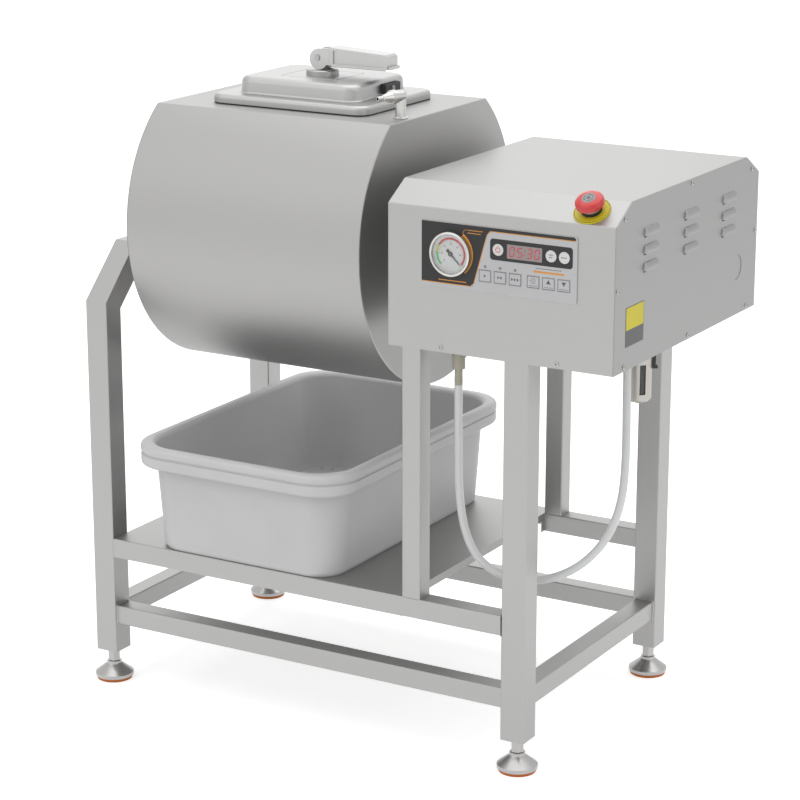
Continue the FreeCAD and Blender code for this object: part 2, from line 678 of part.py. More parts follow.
def drum_shafts():
    """Stub shafts with hub flanges on both drum ends, and the gearbox's output shaft."""
    solids = []
    for end, outward, reach in ((DRUM_LEFT, -1, 77.0), (DRUM_RIGHT, 1, COUPLING_X + HUB_DEPTH - DRUM_RIGHT)):
        axis = V(outward, 0, 0)
        flange = turned([(0, 0), (HUB_FLANGE_RADIUS, 0), (HUB_FLANGE_RADIUS, HUB_FLANGE_DEPTH),
                         (18, HUB_FLANGE_DEPTH), (18, 14), (0, 14)])
        solids.append(placed(flange.fuse(rod(SHAFT_RADIUS, ORIGIN, Z, reach)), V(end, 0, AXIS_Z), axis))
    start = COUPLING_X + HUB_DEPTH + JAW_DEPTH
    solids.append(rod(SHAFT_RADIUS, V(start, 0, AXIS_Z), X, GEARBOX_X + 16 - start))
    return group(solids)


def gearmotor():
    """Gearbox, finned motor with its terminal box, and the bracket that stands on the floor pan."""
    floor = BOX_BOTTOM + SHEET
    start = GEARBOX_X + GEARBOX_LENGTH
    low = AXIS_Z - 58
    gearbox = block(GEARBOX_X, start, -GEARBOX_HALF, GEARBOX_HALF, low, AXIS_Z + 50)
    gearbox = gearbox.makeFillet(6, edges_along(gearbox, X))
    gearbox = gearbox.cut(rod(SHAFT_RADIUS + SHAFT_GAP, V(GEARBOX_X - 1, 0, AXIS_Z), X, 20))
    motor = rod(MOTOR_RADIUS, V(start, 0, AXIS_Z), X, MOTOR_LENGTH - 28)
    for number in range(FIN_COUNT):
        fin = block(start + 8, start + MOTOR_LENGTH - 42, -1.5, 1.5, AXIS_Z, AXIS_Z + MOTOR_RADIUS + 5)
        motor = motor.fuse(fin.rotated(V(start, 0, AXIS_Z), X, 45 + 270 / (FIN_COUNT - 1) * number))
    cowl = rod(MOTOR_RADIUS + 6, V(start + MOTOR_LENGTH - 40, 0, AXIS_Z), X, 40)
    cowl = cowl.makeChamfer(6, [edge for edge in cowl.Edges if edge.BoundBox.XMin > start + MOTOR_LENGTH - 1])
    terminals = block(start + 26, start + 90, -32, 32, AXIS_Z + 40, AXIS_Z + 78)
    bracket = block(GEARBOX_X + 4, start - 4, -70, 70, floor, floor + 4)
    for side in (-1, 1):
        bracket = bracket.fuse(block(GEARBOX_X + 8, start - 8, side * 34 - 3, side * 34 + 3, floor, low))
    return group([gearbox.fuse(motor).fuse(cowl).fuse(terminals), bracket])


def vacuum_pump():
    """Twin-head diaphragm pump on its base, beside the motor."""
    floor = BOX_BOTTOM + SHEET
    half = PUMP_LENGTH / 2
    base = block(PUMP_X - half, PUMP_X + half, PUMP_Y - 49, PUMP_Y + 49, floor, floor + PUMP_BASE)
    saddle = half - 38
    can = rod(PUMP_CAN_RADIUS, V(PUMP_X - saddle, PUMP_Y, floor + PUMP_CAN_RADIUS + 11), X, 2 * saddle)
    pump = base.fuse(can)
    for side in (-1, 1):
        x = PUMP_X + side * (half - 21)
        pump = pump.fuse(block(x - 15, x + 15, PUMP_Y - 31, PUMP_Y + 31, floor + PUMP_BASE, floor + 78))
        pump = pump.fuse(block(x - 17, x + 17, PUMP_Y - 34, PUMP_Y + 34, floor + 78, floor + PUMP_HEIGHT))
    return pump.fuse(block(PUMP_X - saddle, PUMP_X + saddle, PUMP_Y - 15, PUMP_Y + 15, floor + PUMP_BASE,
                           floor + 30))


# ---------------------------------------------------------------- control panel
def key_form(style, grow, y0, y1, x, z):
    """Outline of a key, or of its hole, extruded between two depths."""
    if style == "round":
        return rod(ROUND_KEY_RADIUS + grow, V(x, y0, z), Y, y1 - y0)
    half_width, half_height = SQUARE_KEY_WIDTH / 2 + grow, SQUARE_KEY_HEIGHT / 2 + grow
    return block(x - half_width, x + half_width, y0, y1, z - half_height, z + half_height)


def panel_overlay():
    """Panel plate on the front face, with a hole for the gauge, a window, and one hole for each key."""
    plate = front_plate(PANEL_WIDTH, PANEL_HEIGHT, 3, PANEL_FACE, BOX_FRONT, PANEL_X, PANEL_Z)
    gauge_hole = rod(GAUGE_HOLE + SHAFT_GAP, V(GAUGE_X, PANEL_FACE - 1, GAUGE_Z), Y, PANEL_THICKNESS + 2)
    plate = plate.cut(gauge_hole)
    plate = plate.cut(block(DISPLAY_X - DISPLAY_WIDTH / 2, DISPLAY_X + DISPLAY_WIDTH / 2, PANEL_FACE - 1,
                            BOX_FRONT + 1, DISPLAY_Z - DISPLAY_HEIGHT / 2, DISPLAY_Z + DISPLAY_HEIGHT / 2))
    for name, x, z, style in KEYS:
        plate = plate.cut(key_form(style, KEY_GAP, PANEL_FACE - 1, BOX_FRONT + 1, x, z))
    return plate


def key(name):
    """One key cap, a little proud of the panel and clear of the sheet behind it."""
    for other, x, z, style in KEYS:
        if other == name:
            front = PANEL_FACE - KEY_PROUD
            return key_form(style, 0, front, front + KEY_THICKNESS, x, z)


def control_board():
    """Circuit board behind the panel with its display module, which fills the window."""
    right, top = BOARD_LEFT + BOARD_WIDTH, BOARD_BOTTOM + BOARD_HEIGHT
    back = BOARD_FACE + BOARD_THICKNESS
    board = block(BOARD_LEFT, right, BOARD_FACE, back, BOARD_BOTTOM, top)
    module = block(DISPLAY_X - DISPLAY_WIDTH / 2, DISPLAY_X + DISPLAY_WIDTH / 2, PANEL_FACE + 0.2, BOARD_FACE,
                   DISPLAY_Z - DISPLAY_HEIGHT / 2, DISPLAY_Z + DISPLAY_HEIGHT / 2)
    transformer = block(right - 40, right - 8, back, back + 24.4, BOARD_BOTTOM + 6, BOARD_BOTTOM + 34)
    terminals = block(BOARD_LEFT + 14, BOARD_LEFT + 84, back, back + 12.4, BOARD_BOTTOM + 4,
                      BOARD_BOTTOM + 14)
    return board.fuse(module).fuse(transformer).fuse(terminals)


def gauge_part(profile):
    """Turned part of the gauge: heights are measured out from the panel's face."""
    return turned(profile, V(GAUGE_X, PANEL_FACE, GAUGE_Z), V(0, -1, 0))


def gauge_case():
    """Gauge case with its bezel, dial face, needle post and the connection at the back."""
    case = gauge_part([(0, -31), (GAUGE_HOLE, -31), (GAUGE_HOLE, 0), (GAUGE_RADIUS, 0), (GAUGE_RADIUS, 4.6),
                       (29.8, 7), (GAUGE_DIAL, 7), (GAUGE_DIAL, 0.4), (0, 0.4)])
    post = gauge_part([(0, 0), (0.9, 0), (0.9, 2.8), (0, 2.8)])
    stem = gauge_part([(0, -48), (5, -48), (5, -31), (0, -31)])
    return case.fuse(post).fuse(stem)


def gauge_needle():
    """Needle at the zero mark: a hub, a tapered pointer and a short tail."""
    hub = gauge_part([(0.95, 1.2), (3.4, 1.2), (3.0, 3.2), (0.95, 3.2)])
    down_right = math.radians(-45)
    along = (math.cos(down_right), math.sin(down_right))
    across = (-along[1], along[0])
    outline = []
    for reach, half in ((-8, 1.4), (2.5, 1.2), (23, 0.35), (23, -0.35), (2.5, -1.2), (-8, -1.4)):
        outline.append((GAUGE_X + along[0] * reach + across[0] * half,
                        GAUGE_Z + along[1] * reach + across[1] * half))
    pointer = prism_y(outline, PANEL_FACE - 2.2, PANEL_FACE - 1.4)
    return hub.fuse(pointer.cut(rod(2.0, V(GAUGE_X, PANEL_FACE - 5, GAUGE_Z), Y, 10)))


def gauge_lens():
    return gauge_part([(0, 4.5), (GAUGE_DIAL, 4.5), (GAUGE_DIAL, 5.7), (0, 5.7)])


# ---------------------------------------------------------------- emergency stop
def estop_body():
    """Round plate, collar, neck through the chamfer, ring nut and contact block."""
    bore = PLUNGER_RADIUS + SHAFT_GAP
    outside = turned([(bore, 0), (26, 0), (26, 2), (14, 2), (14, 9.5), (bore, 9.5)])
    neck = turned([(bore, 0), (10.95, 0), (10.95, -22), (0, -22), (0, -12), (bore, -12)])
    nut = hexagon(30, V(0, 0, -7), Z, 5).cut(rod(10.9, V(0, 0, -8), Z, 8))
    contacts = block(-15, 15, -19, 19, -52, -22)
    return on_chamfer(outside.fuse(neck).fuse(nut).fuse(contacts))


def estop_plunger():
    return on_chamfer(rod(PLUNGER_RADIUS, V(0, 0, -5), Z, 25))


def estop_cap():
    """Mushroom head, hollow beneath so that it closes over the collar when it is pushed."""
    rim = ESTOP_HEAD_RADIUS
    bore = PLUNGER_RADIUS + SHAFT_GAP
    return on_chamfer(turned([(bore, 17.5), (15.5, 17.5), (15.5, 13), (rim, 13), (rim, 18.4), (18.2, 21.8),
                              (12.0, 24.2), (0, 24.8), (0, 20.3), (bore, 20.3)]))


# ---------------------------------------------------------------- filter, hose and fittings
def filter_head():
    """Filter head under the box floor, with the spigot that the bowl turns on."""
    return turned([(0, BOX_BOTTOM), (18.5, BOX_BOTTOM), (20, BOX_BOTTOM - 2), (20, FILTER_HEAD_BOTTOM + 1),
                   (19, FILTER_HEAD_BOTTOM), (16, FILTER_HEAD_BOTTOM), (16, FILTER_HEAD_BOTTOM - 12),
                   (0, FILTER_HEAD_BOTTOM - 12)], V(FILTER_X, FILTER_Y, 0))


def filter_bowl():
    """Metal guard with a sight slot round a clear bowl with its drain."""
    top = FILTER_HEAD_BOTTOM - 0.3
    low = FILTER_BOTTOM
    guard = turned([(6, low), (15, low), (GUARD_RADIUS, low + 4), (GUARD_RADIUS, top), (17.6, top),
                    (17.6, low + 4.5), (14.4, low + 1.6), (6, low + 1.6)])
    slot = block(10, 25, -4.5, 4.5, low + 12, low + 56).rotated(ORIGIN, Z, SLOT_AZIMUTH)
    bowl = turned([(0, low + 2.5), (13, low + 2.5), (17.2, low + 7), (17.2, top - 2), (16.4, top - 2),
                   (16.4, low + 7.5), (12.6, low + 4), (0, low + 4)])
    drain = rod(3.5, V(0, 0, low - 4), Z, 6.5)
    base = V(FILTER_X, FILTER_Y, 0)
    return group([guard.cut(slot).translated(base), bowl.fuse(drain).translated(base)])


def filter_lock():
    """Sliding catch beside the guard, with a finger lip."""
    body = block(19.4, 24, -5, 5, 566, 586)
    lip = block(24, 27, -5, 5, 566, 569.5)
    catch = body.fuse(lip)
    catch = catch.makeFillet(1.0, edges_along(catch, Y, lambda p: p.x > 23.9))
    return catch.rotated(ORIGIN, Z, LOCK_AZIMUTH).translated(V(FILTER_X, FILTER_Y, 0))


def hose_coupler():
    """Coupler parked under the box: tail for the hose, collar, and a blind bore for the parking stud."""
    tail_top = COUPLER_TAIL_Z + 23
    return turned([(0, COUPLER_TAIL_Z), (5.75, COUPLER_TAIL_Z), (5.75, tail_top),
                   (COUPLER_RADIUS, tail_top + 1), (COUPLER_RADIUS, COUPLER_TOP), (STUD_RADIUS, COUPLER_TOP),
                   (STUD_RADIUS, STUD_BOTTOM), (0, STUD_BOTTOM)], V(COUPLER_X, COUPLER_Y, 0))


def hose_fittings():
    """Parking stud for the coupler, and the push-in socket that the hose runs into."""
    stud = turned([(0, STUD_BOTTOM), (STUD_RADIUS, STUD_BOTTOM), (STUD_RADIUS, COUPLER_TOP),
                   (7.0, COUPLER_TOP), (7.0, BOX_BOTTOM), (0, BOX_BOTTOM)], V(COUPLER_X, COUPLER_Y, 0))
    low = SOCKET_BOTTOM
    socket = turned([(0, low), (7.6, low), (9.5, low + 5), (9.5, BOX_BOTTOM), (0, BOX_BOTTOM)],
                    V(SOCKET_X, SOCKET_Y, 0))
    return group([stud, socket])


def hose_path():
    """Path of straight runs joined by tangent arcs, each as large as its two runs allow."""
    points = [V(*point) for point in HOSE_ROUTE]
    edges = []
    radii = []
    last = points[0]
    for before, corner, after in zip(points, points[1:], points[2:]):
        back = before - corner
        ahead = after - corner
        turn = math.pi - back.getAngle(ahead)
        setback = 0.45 * min(back.Length, ahead.Length)
        radii.append(setback / math.tan(turn / 2))
        start = corner + V(back).normalize() * setback
        end = corner + V(ahead).normalize() * setback
        bisector = (V(back).normalize() + V(ahead).normalize()).normalize()
        middle = corner + bisector * (radii[-1] / math.cos(turn / 2) - radii[-1])
        edges.append(Part.LineSegment(last, start).toShape())
        edges.append(Part.Arc(start, middle, end).toShape())
        last = end
    edges.append(Part.LineSegment(last, points[-1]).toShape())
    return Part.Wire(edges), radii


def hose():
    """Clear vacuum hose, hanging in a loop from the coupler to its socket."""
    path, radii = hose_path()
    first = V(*HOSE_ROUTE[1]) - V(*HOSE_ROUTE[0])
    section = Part.Wire(Part.makeCircle(HOSE_RADIUS, V(*HOSE_ROUTE[0]), first))
    tube = path.makePipe(Part.Face(section))
    share = tube.Volume / (math.pi * HOSE_RADIUS ** 2 * path.Length)
    print("hose length", round(path.Length, 1), "volume over section times length", round(share, 4))
    print("hose radii", [round(radius) for radius in radii])
    return tube


# ---------------------------------------------------------------- drum
def drum_form(inset):
    """Round drum with one flat along its top, set in from its outer faces."""
    radius = DRUM_RADIUS - inset
    solid = rod(radius, V(DRUM_LEFT + inset, 0, AXIS_Z), X, DRUM_LENGTH - 2 * inset)
    above = FLAT_Z - inset
    return solid.cut(block(DRUM_LEFT - 1, DRUM_RIGHT + 1, -DRUM_RADIUS, DRUM_RADIUS, above, above + 100))


def opening_form(grow, z0, z1):
    return rounded_block(OPENING_LENGTH + 2 * grow, OPENING_WIDTH + 2 * grow, OPENING_CORNER + grow,
                         z0, z1, DRUM_X)


def drum_shell():
    """Drum shell and ends in one welded sheet vessel, open under the lid."""
    outer = drum_form(0)
    rims = [edge for edge in outer.Edges if abs(edge.BoundBox.XMax - edge.BoundBox.XMin) < 1e-6]
    outer = outer.makeChamfer(1.0, rims)
    shell = outer.cut(drum_form(DRUM_SHEET))
    shell = shell.cut(opening_form(OPENING_SHEET, FLAT_Z - 10, FLAT_Z + 10))
    return shell.cut(rod(5.0, V(ELBOW_X, ELBOW_Y, FLAT_Z - 10), Z, 20))


def opening_frame():
    """Collar welded into the drum's opening, with a hook lug under each end for the lid's crossbar."""
    bottom = LUG_BOTTOM
    collar = opening_form(OPENING_SHEET, bottom, FLAT_Z).cut(opening_form(0, bottom - 1, FLAT_Z + 1))
    half = OPENING_LENGTH / 2
    for side in (-1, 1):
        outer_end = DRUM_X + side * (half + 1)
        inner_end = DRUM_X + side * (half - LUG_REACH)
        lug = block(min(outer_end, inner_end), max(outer_end, inner_end), -LUG_WIDTH / 2, LUG_WIDTH / 2,
                    bottom, bottom + LUG_SHEET)
        lug = lug.makeFillet(8, edges_along(lug, Z, lambda p: abs(p.x - inner_end) < 1))
        collar = collar.fuse(lug)
    return collar


def drum_baffles():
    """Three folded lifting vanes along the inside of the drum."""
    inner = DRUM_RADIUS - DRUM_SHEET
    foot_half, tip_half, height = 34.0, 7.0, 44.0
    sole = math.sqrt(inner ** 2 - foot_half ** 2)
    tip = -inner + height
    outline = [(-foot_half, -sole), (-tip_half, tip), (tip_half, tip), (foot_half, -sole)]
    inside = [(y * 0.90, z - DRUM_SHEET * 1.1) for y, z in outline]
    length = DRUM_LENGTH - 2 * DRUM_SHEET - 30
    vane = prism_x(outline, DRUM_X - length / 2, DRUM_X + length / 2)
    vane = vane.makeFillet(5, edges_along(vane, X, lambda p: p.z > tip - 1))
    vane = vane.cut(prism_x(inside, DRUM_X - length / 2 + DRUM_SHEET, DRUM_X + length / 2 - DRUM_SHEET))
    vane.translate(V(0, 0, AXIS_Z))
    return group([vane.rotated(V(0, 0, AXIS_Z), X, turn) for turn in (0, 120, 240)])


def elbow():
    """Swept vacuum elbow on the flat: base nut, stem, and a turned side arm that ends in a nozzle."""
    stem = turned([(0, 0), (10.5, 0), (10.5, 2.3), (7.8, 2.3), (7.8, 38), (0, 38)])
    arm = turned([(0, -8), (8.8, -8), (8.8, 12), (10.2, 12), (10.2, 20), (8.6, 20), (4.8, 33),
                  (4.8, 36), (3.5, 36), (3.5, 46), (0, 46)])
    turn = math.radians(ELBOW_TURN)
    arm = placed(arm, V(0, 0, ELBOW_RISE), V(-math.sin(turn), -math.cos(turn), 0))
    spigot = rod(5.0, V(0, 0, -10), Z, 10)
    return stem.fuse(arm).fuse(spigot).translated(V(ELBOW_X, ELBOW_Y, FLAT_Z))


# ---------------------------------------------------------------- lid and its cam clamp
def lid_step(length, width, corner, top, inset):
    """One step of the lid, from the gasket up, set in from its outer faces."""
    return rounded_block(length - 2 * inset, width - 2 * inset, corner - inset, LID_BOTTOM, top - inset,
                         DRUM_X)


def lid_cover():
    """Pressed lid in two steps with a shallow square panel round the thrust disc."""
    rim = lid_step(LID_LENGTH, LID_WIDTH, LID_CORNER, LID_RIM_TOP, 0)
    crown = lid_step(LID_CROWN_LENGTH, LID_CROWN_WIDTH, LID_CORNER, LID_TOP, 0)
    rim = rim.makeChamfer(LID_RIM_EDGE, edges_at_height(rim, LID_RIM_TOP))
    crown = crown.makeFillet(LID_CROWN_EDGE, edges_at_height(crown, LID_TOP))
    lid = rim.fuse(crown)
    lid = lid.cut(lid_step(LID_LENGTH, LID_WIDTH, LID_CORNER, LID_RIM_TOP, 2 * LID_SHEET))
    lid = lid.cut(lid_step(LID_CROWN_LENGTH, LID_CROWN_WIDTH, LID_CORNER, LID_TOP, 2 * LID_SHEET))
    lid = lid.cut(rounded_ring(LID_PANEL_LENGTH, LID_PANEL_WIDTH, 3, 1.6, LID_TOP - 0.6, LID_TOP + 1, DRUM_X))
    return lid.cut(rod(SPIGOT_RADIUS + SHAFT_GAP, V(DRUM_X, 0, LID_TOP - 10), Z, 20))


def lid_gasket():
    return rounded_ring(LID_LENGTH - 3, LID_WIDTH - 3, 20.5, GASKET_WIDTH, FLAT_Z, LID_BOTTOM, DRUM_X)


def thrust_disc():
    """Disc that turns in the lid and takes the cams' thrust."""
    bore = ROD_RADIUS + SHAFT_GAP
    return turned([(bore, -12), (SPIGOT_RADIUS, -12), (SPIGOT_RADIUS, 0), (DISC_RADIUS, 0),
                   (DISC_RADIUS, DISC_HEIGHT - 2), (DISC_RADIUS - 2, DISC_HEIGHT), (bore, DISC_HEIGHT)],
                  V(DRUM_X, 0, LID_TOP))


def clamp_rod():
    """Pull rod with its eye at the top, the cross pin through it, and the crossbar at its foot."""
    low = CROSSBAR_TOP - CROSSBAR_HEIGHT
    bar = block(DRUM_X - CROSSBAR_WIDTH / 2, DRUM_X + CROSSBAR_WIDTH / 2, -CROSSBAR_LENGTH / 2,
                CROSSBAR_LENGTH / 2, low, CROSSBAR_TOP)
    bar = bar.makeFillet(6, edges_along(bar, Z))
    shank = rod(ROD_RADIUS, V(DRUM_X, 0, low), Z, CLAMP_PIN_Z - low)
    nut = hexagon(19, V(DRUM_X, 0, low - 8), Z, 8)
    eye = rod(10, V(DRUM_X, -CHEEK_INNER + CAM_GAP, CLAMP_PIN_Z), Y, 2 * (CHEEK_INNER - CAM_GAP))
    pin = rod(CLAMP_PIN_RADIUS, V(DRUM_X, -CHEEK_OUTER - 2, CLAMP_PIN_Z), Y, 2 * CHEEK_OUTER + 4)
    return bar.fuse(shank).fuse(nut).fuse(eye).fuse(pin)


def clamp_lever():
    """Cam lever: two round cheeks on the pin, and a tapered channel grip with a turned-down lip."""
    base_x, base_z = DRUM_X, CLAMP_PIN_Z
    grip_start, grip_end = 26.0, LEVER_REACH
    low = -10.0
    side_outline = [(base_x + grip_start - 6, base_z + low), (base_x + grip_start - 6, base_z + 16.5),
                    (base_x + grip_end - 4, base_z + 11.5), (base_x + grip_end, base_z + 8),
                    (base_x + grip_end, base_z + low)]
    lever = prism_y(side_outline, -CHEEK_OUTER, CHEEK_OUTER)
    lever = lever.makeFillet(3.0, edges_along(lever, Y, lambda p: p.x > base_x + grip_end - 5))
    hollow = [(base_x + grip_start - 7, base_z + low - 1), (base_x + grip_start - 7, base_z + 13.5),
              (base_x + grip_end - 7, base_z + 8.5), (base_x + grip_end - 4, base_z + low - 1)]
    lever = lever.cut(prism_y(hollow, -CHEEK_INNER - 2.5, CHEEK_INNER + 2.5))
    recess = [(base_x + grip_start + 2, base_z + low + 3), (base_x + grip_start + 2, base_z + 12.5),
              (base_x + grip_end - 8, base_z + 8), (base_x + grip_end - 8, base_z + low + 3)]
    for y in (-CHEEK_OUTER, CHEEK_OUTER - CHEEK_RECESS):
        lever = lever.cut(prism_y(recess, y, y + CHEEK_RECESS))
    lip = block(base_x + grip_end - 1, base_x + grip_end + 5, -CHEEK_OUTER + 2, CHEEK_OUTER - 2,
                base_z + low, base_z + low + 4.5)
    lever = lever.fuse(lip)
    for number in range(5):
        x = base_x + grip_start + 12 + number * 15
        top = base_z + 15.2 - (x - base_x - grip_start) * 0.052
        lever = lever.fuse(rod(1.1, V(x, -CHEEK_OUTER + 3, top), Y, 2 * CHEEK_OUTER - 6))
    cam_x, cam_z = base_x + CAM_OFFSET, base_z - CAM_OFFSET
    for y in (-CHEEK_OUTER, CHEEK_INNER):
        cheek = rod(CAM_RADIUS, V(cam_x, y, cam_z), Y, CHEEK_OUTER - CHEEK_INNER)
        arm = prism_y([(base_x, base_z + low), (base_x, base_z + 13.3), (base_x + grip_start, base_z + 15.5),
                       (base_x + grip_start, base_z + low)], y, y + CHEEK_OUTER - CHEEK_INNER)
        lever = lever.fuse(cheek).fuse(arm)
    return lever.cut(rod(CLAMP_PIN_RADIUS + SHAFT_GAP, V(base_x, -30, base_z), Y, 60))


def release_block():
    """Housing of the vacuum release valve on the lid's right side, with ribs on its top."""
    body = block(RELEASE_FACE, RELEASE_FACE + 9, RELEASE_Y - 21.5, RELEASE_Y + 21.5,
                 RELEASE_Z - 8, RELEASE_Z + 6)
    body = body.makeFillet(1.2, edges_along(body, Y, lambda p: p.x > RELEASE_FACE + 8))
    for number in range(7):
        y = RELEASE_Y - 18 + number * 6
        body = body.fuse(block(RELEASE_FACE, RELEASE_FACE + 7.5, y - 1, y + 1, RELEASE_Z + 6, RELEASE_Z + 7))
    return body.cut(rod(4.05, V(RELEASE_FACE + 3, RELEASE_Y, RELEASE_Z - 1), X, 10))


def release_button():
    return turned([(0, 0), (4, 0), (4, 3.2), (3.2, 4.2), (0, 4.2)],
                  V(RELEASE_FACE + 6.6, RELEASE_Y, RELEASE_Z - 1), X)


# ---------------------------------------------------------------- drip tub
def tub_block(grow, corner, z0, z1):
    """Upright rounded block, grown on every side from the tub's base outline."""
    return rounded_block(TUB_BASE_LENGTH + 2 * grow, TUB_BASE_DEPTH + 2 * grow, corner, z0, z1, TUB_X)


def tub_draft(grow, top_grow, corner, z0, z1):
    """Drafted form that grows from z0 to z1: flat sides, and a cone round each corner's centre."""
    half_x, half_y = TUB_BASE_LENGTH / 2, TUB_BASE_DEPTH / 2
    middle_x, middle_y = half_x + grow - corner, half_y + grow - corner
    along_x = prism_y([(-half_x - grow, z0), (half_x + grow, z0), (half_x + top_grow, z1),
                       (-half_x - top_grow, z1)], -middle_y, middle_y)
    along_y = prism_x([(-half_y - grow, z0), (half_y + grow, z0), (half_y + top_grow, z1),
                       (-half_y - top_grow, z1)], -middle_x, middle_x)
    solid = along_x.fuse(along_y)
    for x in (-middle_x, middle_x):
        for y in (-middle_y, middle_y):
            solid = solid.fuse(Part.makeCone(corner, corner + top_grow - grow, z1 - z0, V(x, y, z0)))
    return solid.removeSplitter().translated(V(TUB_X, 0, 0))


def tub():
    """Moulded tub: drafted walls, a raised floor, and a rolled rim above a ledge, both hollow beneath."""
    corner, wall, overhang = TUB_CORNER, TUB_WALL, TUB_RIM_OVERHANG
    walls = tub_draft(-2.5, 0, corner - 2.5, TUB_BASE_Z, TUB_BASE_Z + 3)
    walls = walls.fuse(tub_draft(0, TUB_DRAFT, corner, TUB_BASE_Z + 3, TUB_LEDGE_BOTTOM))
    ledge = tub_block(overhang - 1, corner + 18, TUB_LEDGE_BOTTOM, TUB_LEDGE_TOP)
    neck = tub_block(overhang - 2.5, corner + 17, TUB_LEDGE_TOP, TUB_LEDGE_TOP + 1.5)
    rim = tub_block(overhang, corner + 20, TUB_LEDGE_TOP + 1.5, TUB_RIM_TOP)
    rim = rim.makeChamfer(4, edges_at_height(rim, TUB_RIM_TOP))
    solid = walls.fuse(ledge).fuse(neck).fuse(rim)
    channel = tub_block(overhang - 6.5, corner + 13, TUB_LEDGE_BOTTOM - 1, TUB_RIM_TOP - 5)
    core = tub_block(TUB_DRAFT + 0.5, corner + 6, TUB_LEDGE_BOTTOM - 2, TUB_RIM_TOP)
    solid = solid.cut(channel.cut(core))
    floor = TUB_BASE_Z + TUB_FLOOR
    inside_corner = corner - wall - 4
    solid = solid.cut(tub_draft(-wall - 4, -wall, inside_corner, floor, floor + 5))
    solid = solid.cut(tub_draft(-wall, TUB_DRAFT + 2.5 - wall, corner - wall, floor + 5, TUB_RIM_TOP + 1))
    solid = solid.cut(tub_block(-12, corner - 12, TUB_BASE_Z - 1, floor - wall))
    for x, y in TUB_DRAINS:
        solid = solid.cut(rod(2.5, V(x, y, TUB_BASE_Z - 1), Z, TUB_FLOOR + 4))
    return solid


# ---------------------------------------------------------------- build
PARTS = {
    "left_legs": left_legs, "left_arch": left_arch, "right_legs": right_legs, "inner_legs": inner_legs,
    "mid_rails": mid_rails, "low_rails": low_rails, "shelf": shelf, "leg_plugs": leg_plugs,
    "box_wrap": box_wrap, "box_end_wall": box_end_wall, "box_floor": box_floor, "side_panel": side_panel,
    "panel_screws": panel_screws, "mains_gland": mains_gland, "pillow_block": pillow_block,
    "flange_bearing": flange_bearing, "bearing_bolts": bearing_bolts, "shaft_coupling": shaft_coupling,
    "drum_shafts": drum_shafts, "gearmotor": gearmotor, "vacuum_pump": vacuum_pump,
    "panel_overlay": panel_overlay, "control_board": control_board, "gauge_case": gauge_case,
    "gauge_needle": gauge_needle, "gauge_lens": gauge_lens, "estop_body": estop_body,
    "estop_plunger": estop_plunger, "estop_cap": estop_cap, "filter_head": filter_head,
    "filter_bowl": filter_bowl, "filter_lock": filter_lock, "hose_coupler": hose_coupler,
    "hose_fittings": hose_fittings, "hose": hose, "drum_shell": drum_shell, "opening_frame": opening_frame,
    "drum_baffles": drum_baffles, "elbow": elbow, "lid_cover": lid_cover, "lid_gasket": lid_gasket,
    "thrust_disc": thrust_disc, "clamp_rod": clamp_rod, "clamp_lever": clamp_lever,
    "release_block": release_block, "release_button": release_button, "tub": tub,
}


def write(name, shape):
    solids = shape.Solids
    state = "valid" if all(solid.isValid() for solid in solids) else "NOT VALID"
    print(f"{name:16s} {len(solids):2d} solids  {shape.Volume / 1000:9.1f} cm3  {state}")
    kept = solids[0] if len(solids) == 1 else Part.makeCompound(solids)
    kept.exportStep(f"parts/{name}.step")


os.makedirs("parts", exist_ok=True)
for name, make in PARTS.items():
    write(name, make())
for name, x, z, style in KEYS:
    write(name, key(name))
for place in LEG_CENTRES:
    write("foot_" + place, foot(place))
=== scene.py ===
import json
import math

import bmesh
import bpy
from bmesh.types import BMEdge, BMVert
from mathutils import Matrix, Vector


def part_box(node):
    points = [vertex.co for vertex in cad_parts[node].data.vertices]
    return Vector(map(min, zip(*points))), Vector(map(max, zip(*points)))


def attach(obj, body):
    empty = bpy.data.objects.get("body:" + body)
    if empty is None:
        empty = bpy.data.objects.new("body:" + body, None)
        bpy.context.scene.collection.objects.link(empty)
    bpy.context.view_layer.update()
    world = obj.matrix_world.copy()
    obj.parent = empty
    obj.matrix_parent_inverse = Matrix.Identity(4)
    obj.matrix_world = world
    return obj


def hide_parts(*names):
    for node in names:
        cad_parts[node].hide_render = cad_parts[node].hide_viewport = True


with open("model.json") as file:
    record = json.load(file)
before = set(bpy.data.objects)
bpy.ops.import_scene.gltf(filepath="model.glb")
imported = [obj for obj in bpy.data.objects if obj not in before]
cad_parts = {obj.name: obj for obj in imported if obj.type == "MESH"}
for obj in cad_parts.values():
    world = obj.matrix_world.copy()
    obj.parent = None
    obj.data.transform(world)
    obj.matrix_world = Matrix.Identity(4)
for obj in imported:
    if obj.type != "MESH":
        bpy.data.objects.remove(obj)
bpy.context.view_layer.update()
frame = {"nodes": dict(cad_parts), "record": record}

# Shapes are built in millimetres and scaled to metres when they are settled
MM = 0.001
X, Y, Z = Vector((1, 0, 0)), Vector((0, 1, 0)), Vector((0, 0, 1))


def box(node):
    """Lowest and highest corner of a CAD node, in millimetres."""
    low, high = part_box(node)
    return Vector(low) / MM, Vector(high) / MM


def middle(node):
    low, high = box(node)
    return (low + high) / 2


def new_object(name, data):
    made = bpy.data.objects.new(name, data)
    bpy.context.scene.collection.objects.link(made)
    return made


# ---- camera
VIEW_AZIMUTH = math.radians(30.37)
VIEW_ELEVATION = math.radians(15.58)
VIEW_TARGET = Vector((-0.0168, -0.0201, 0.4618))
VIEW_DISTANCE = 3.913
VIEW_LENS = 115.8


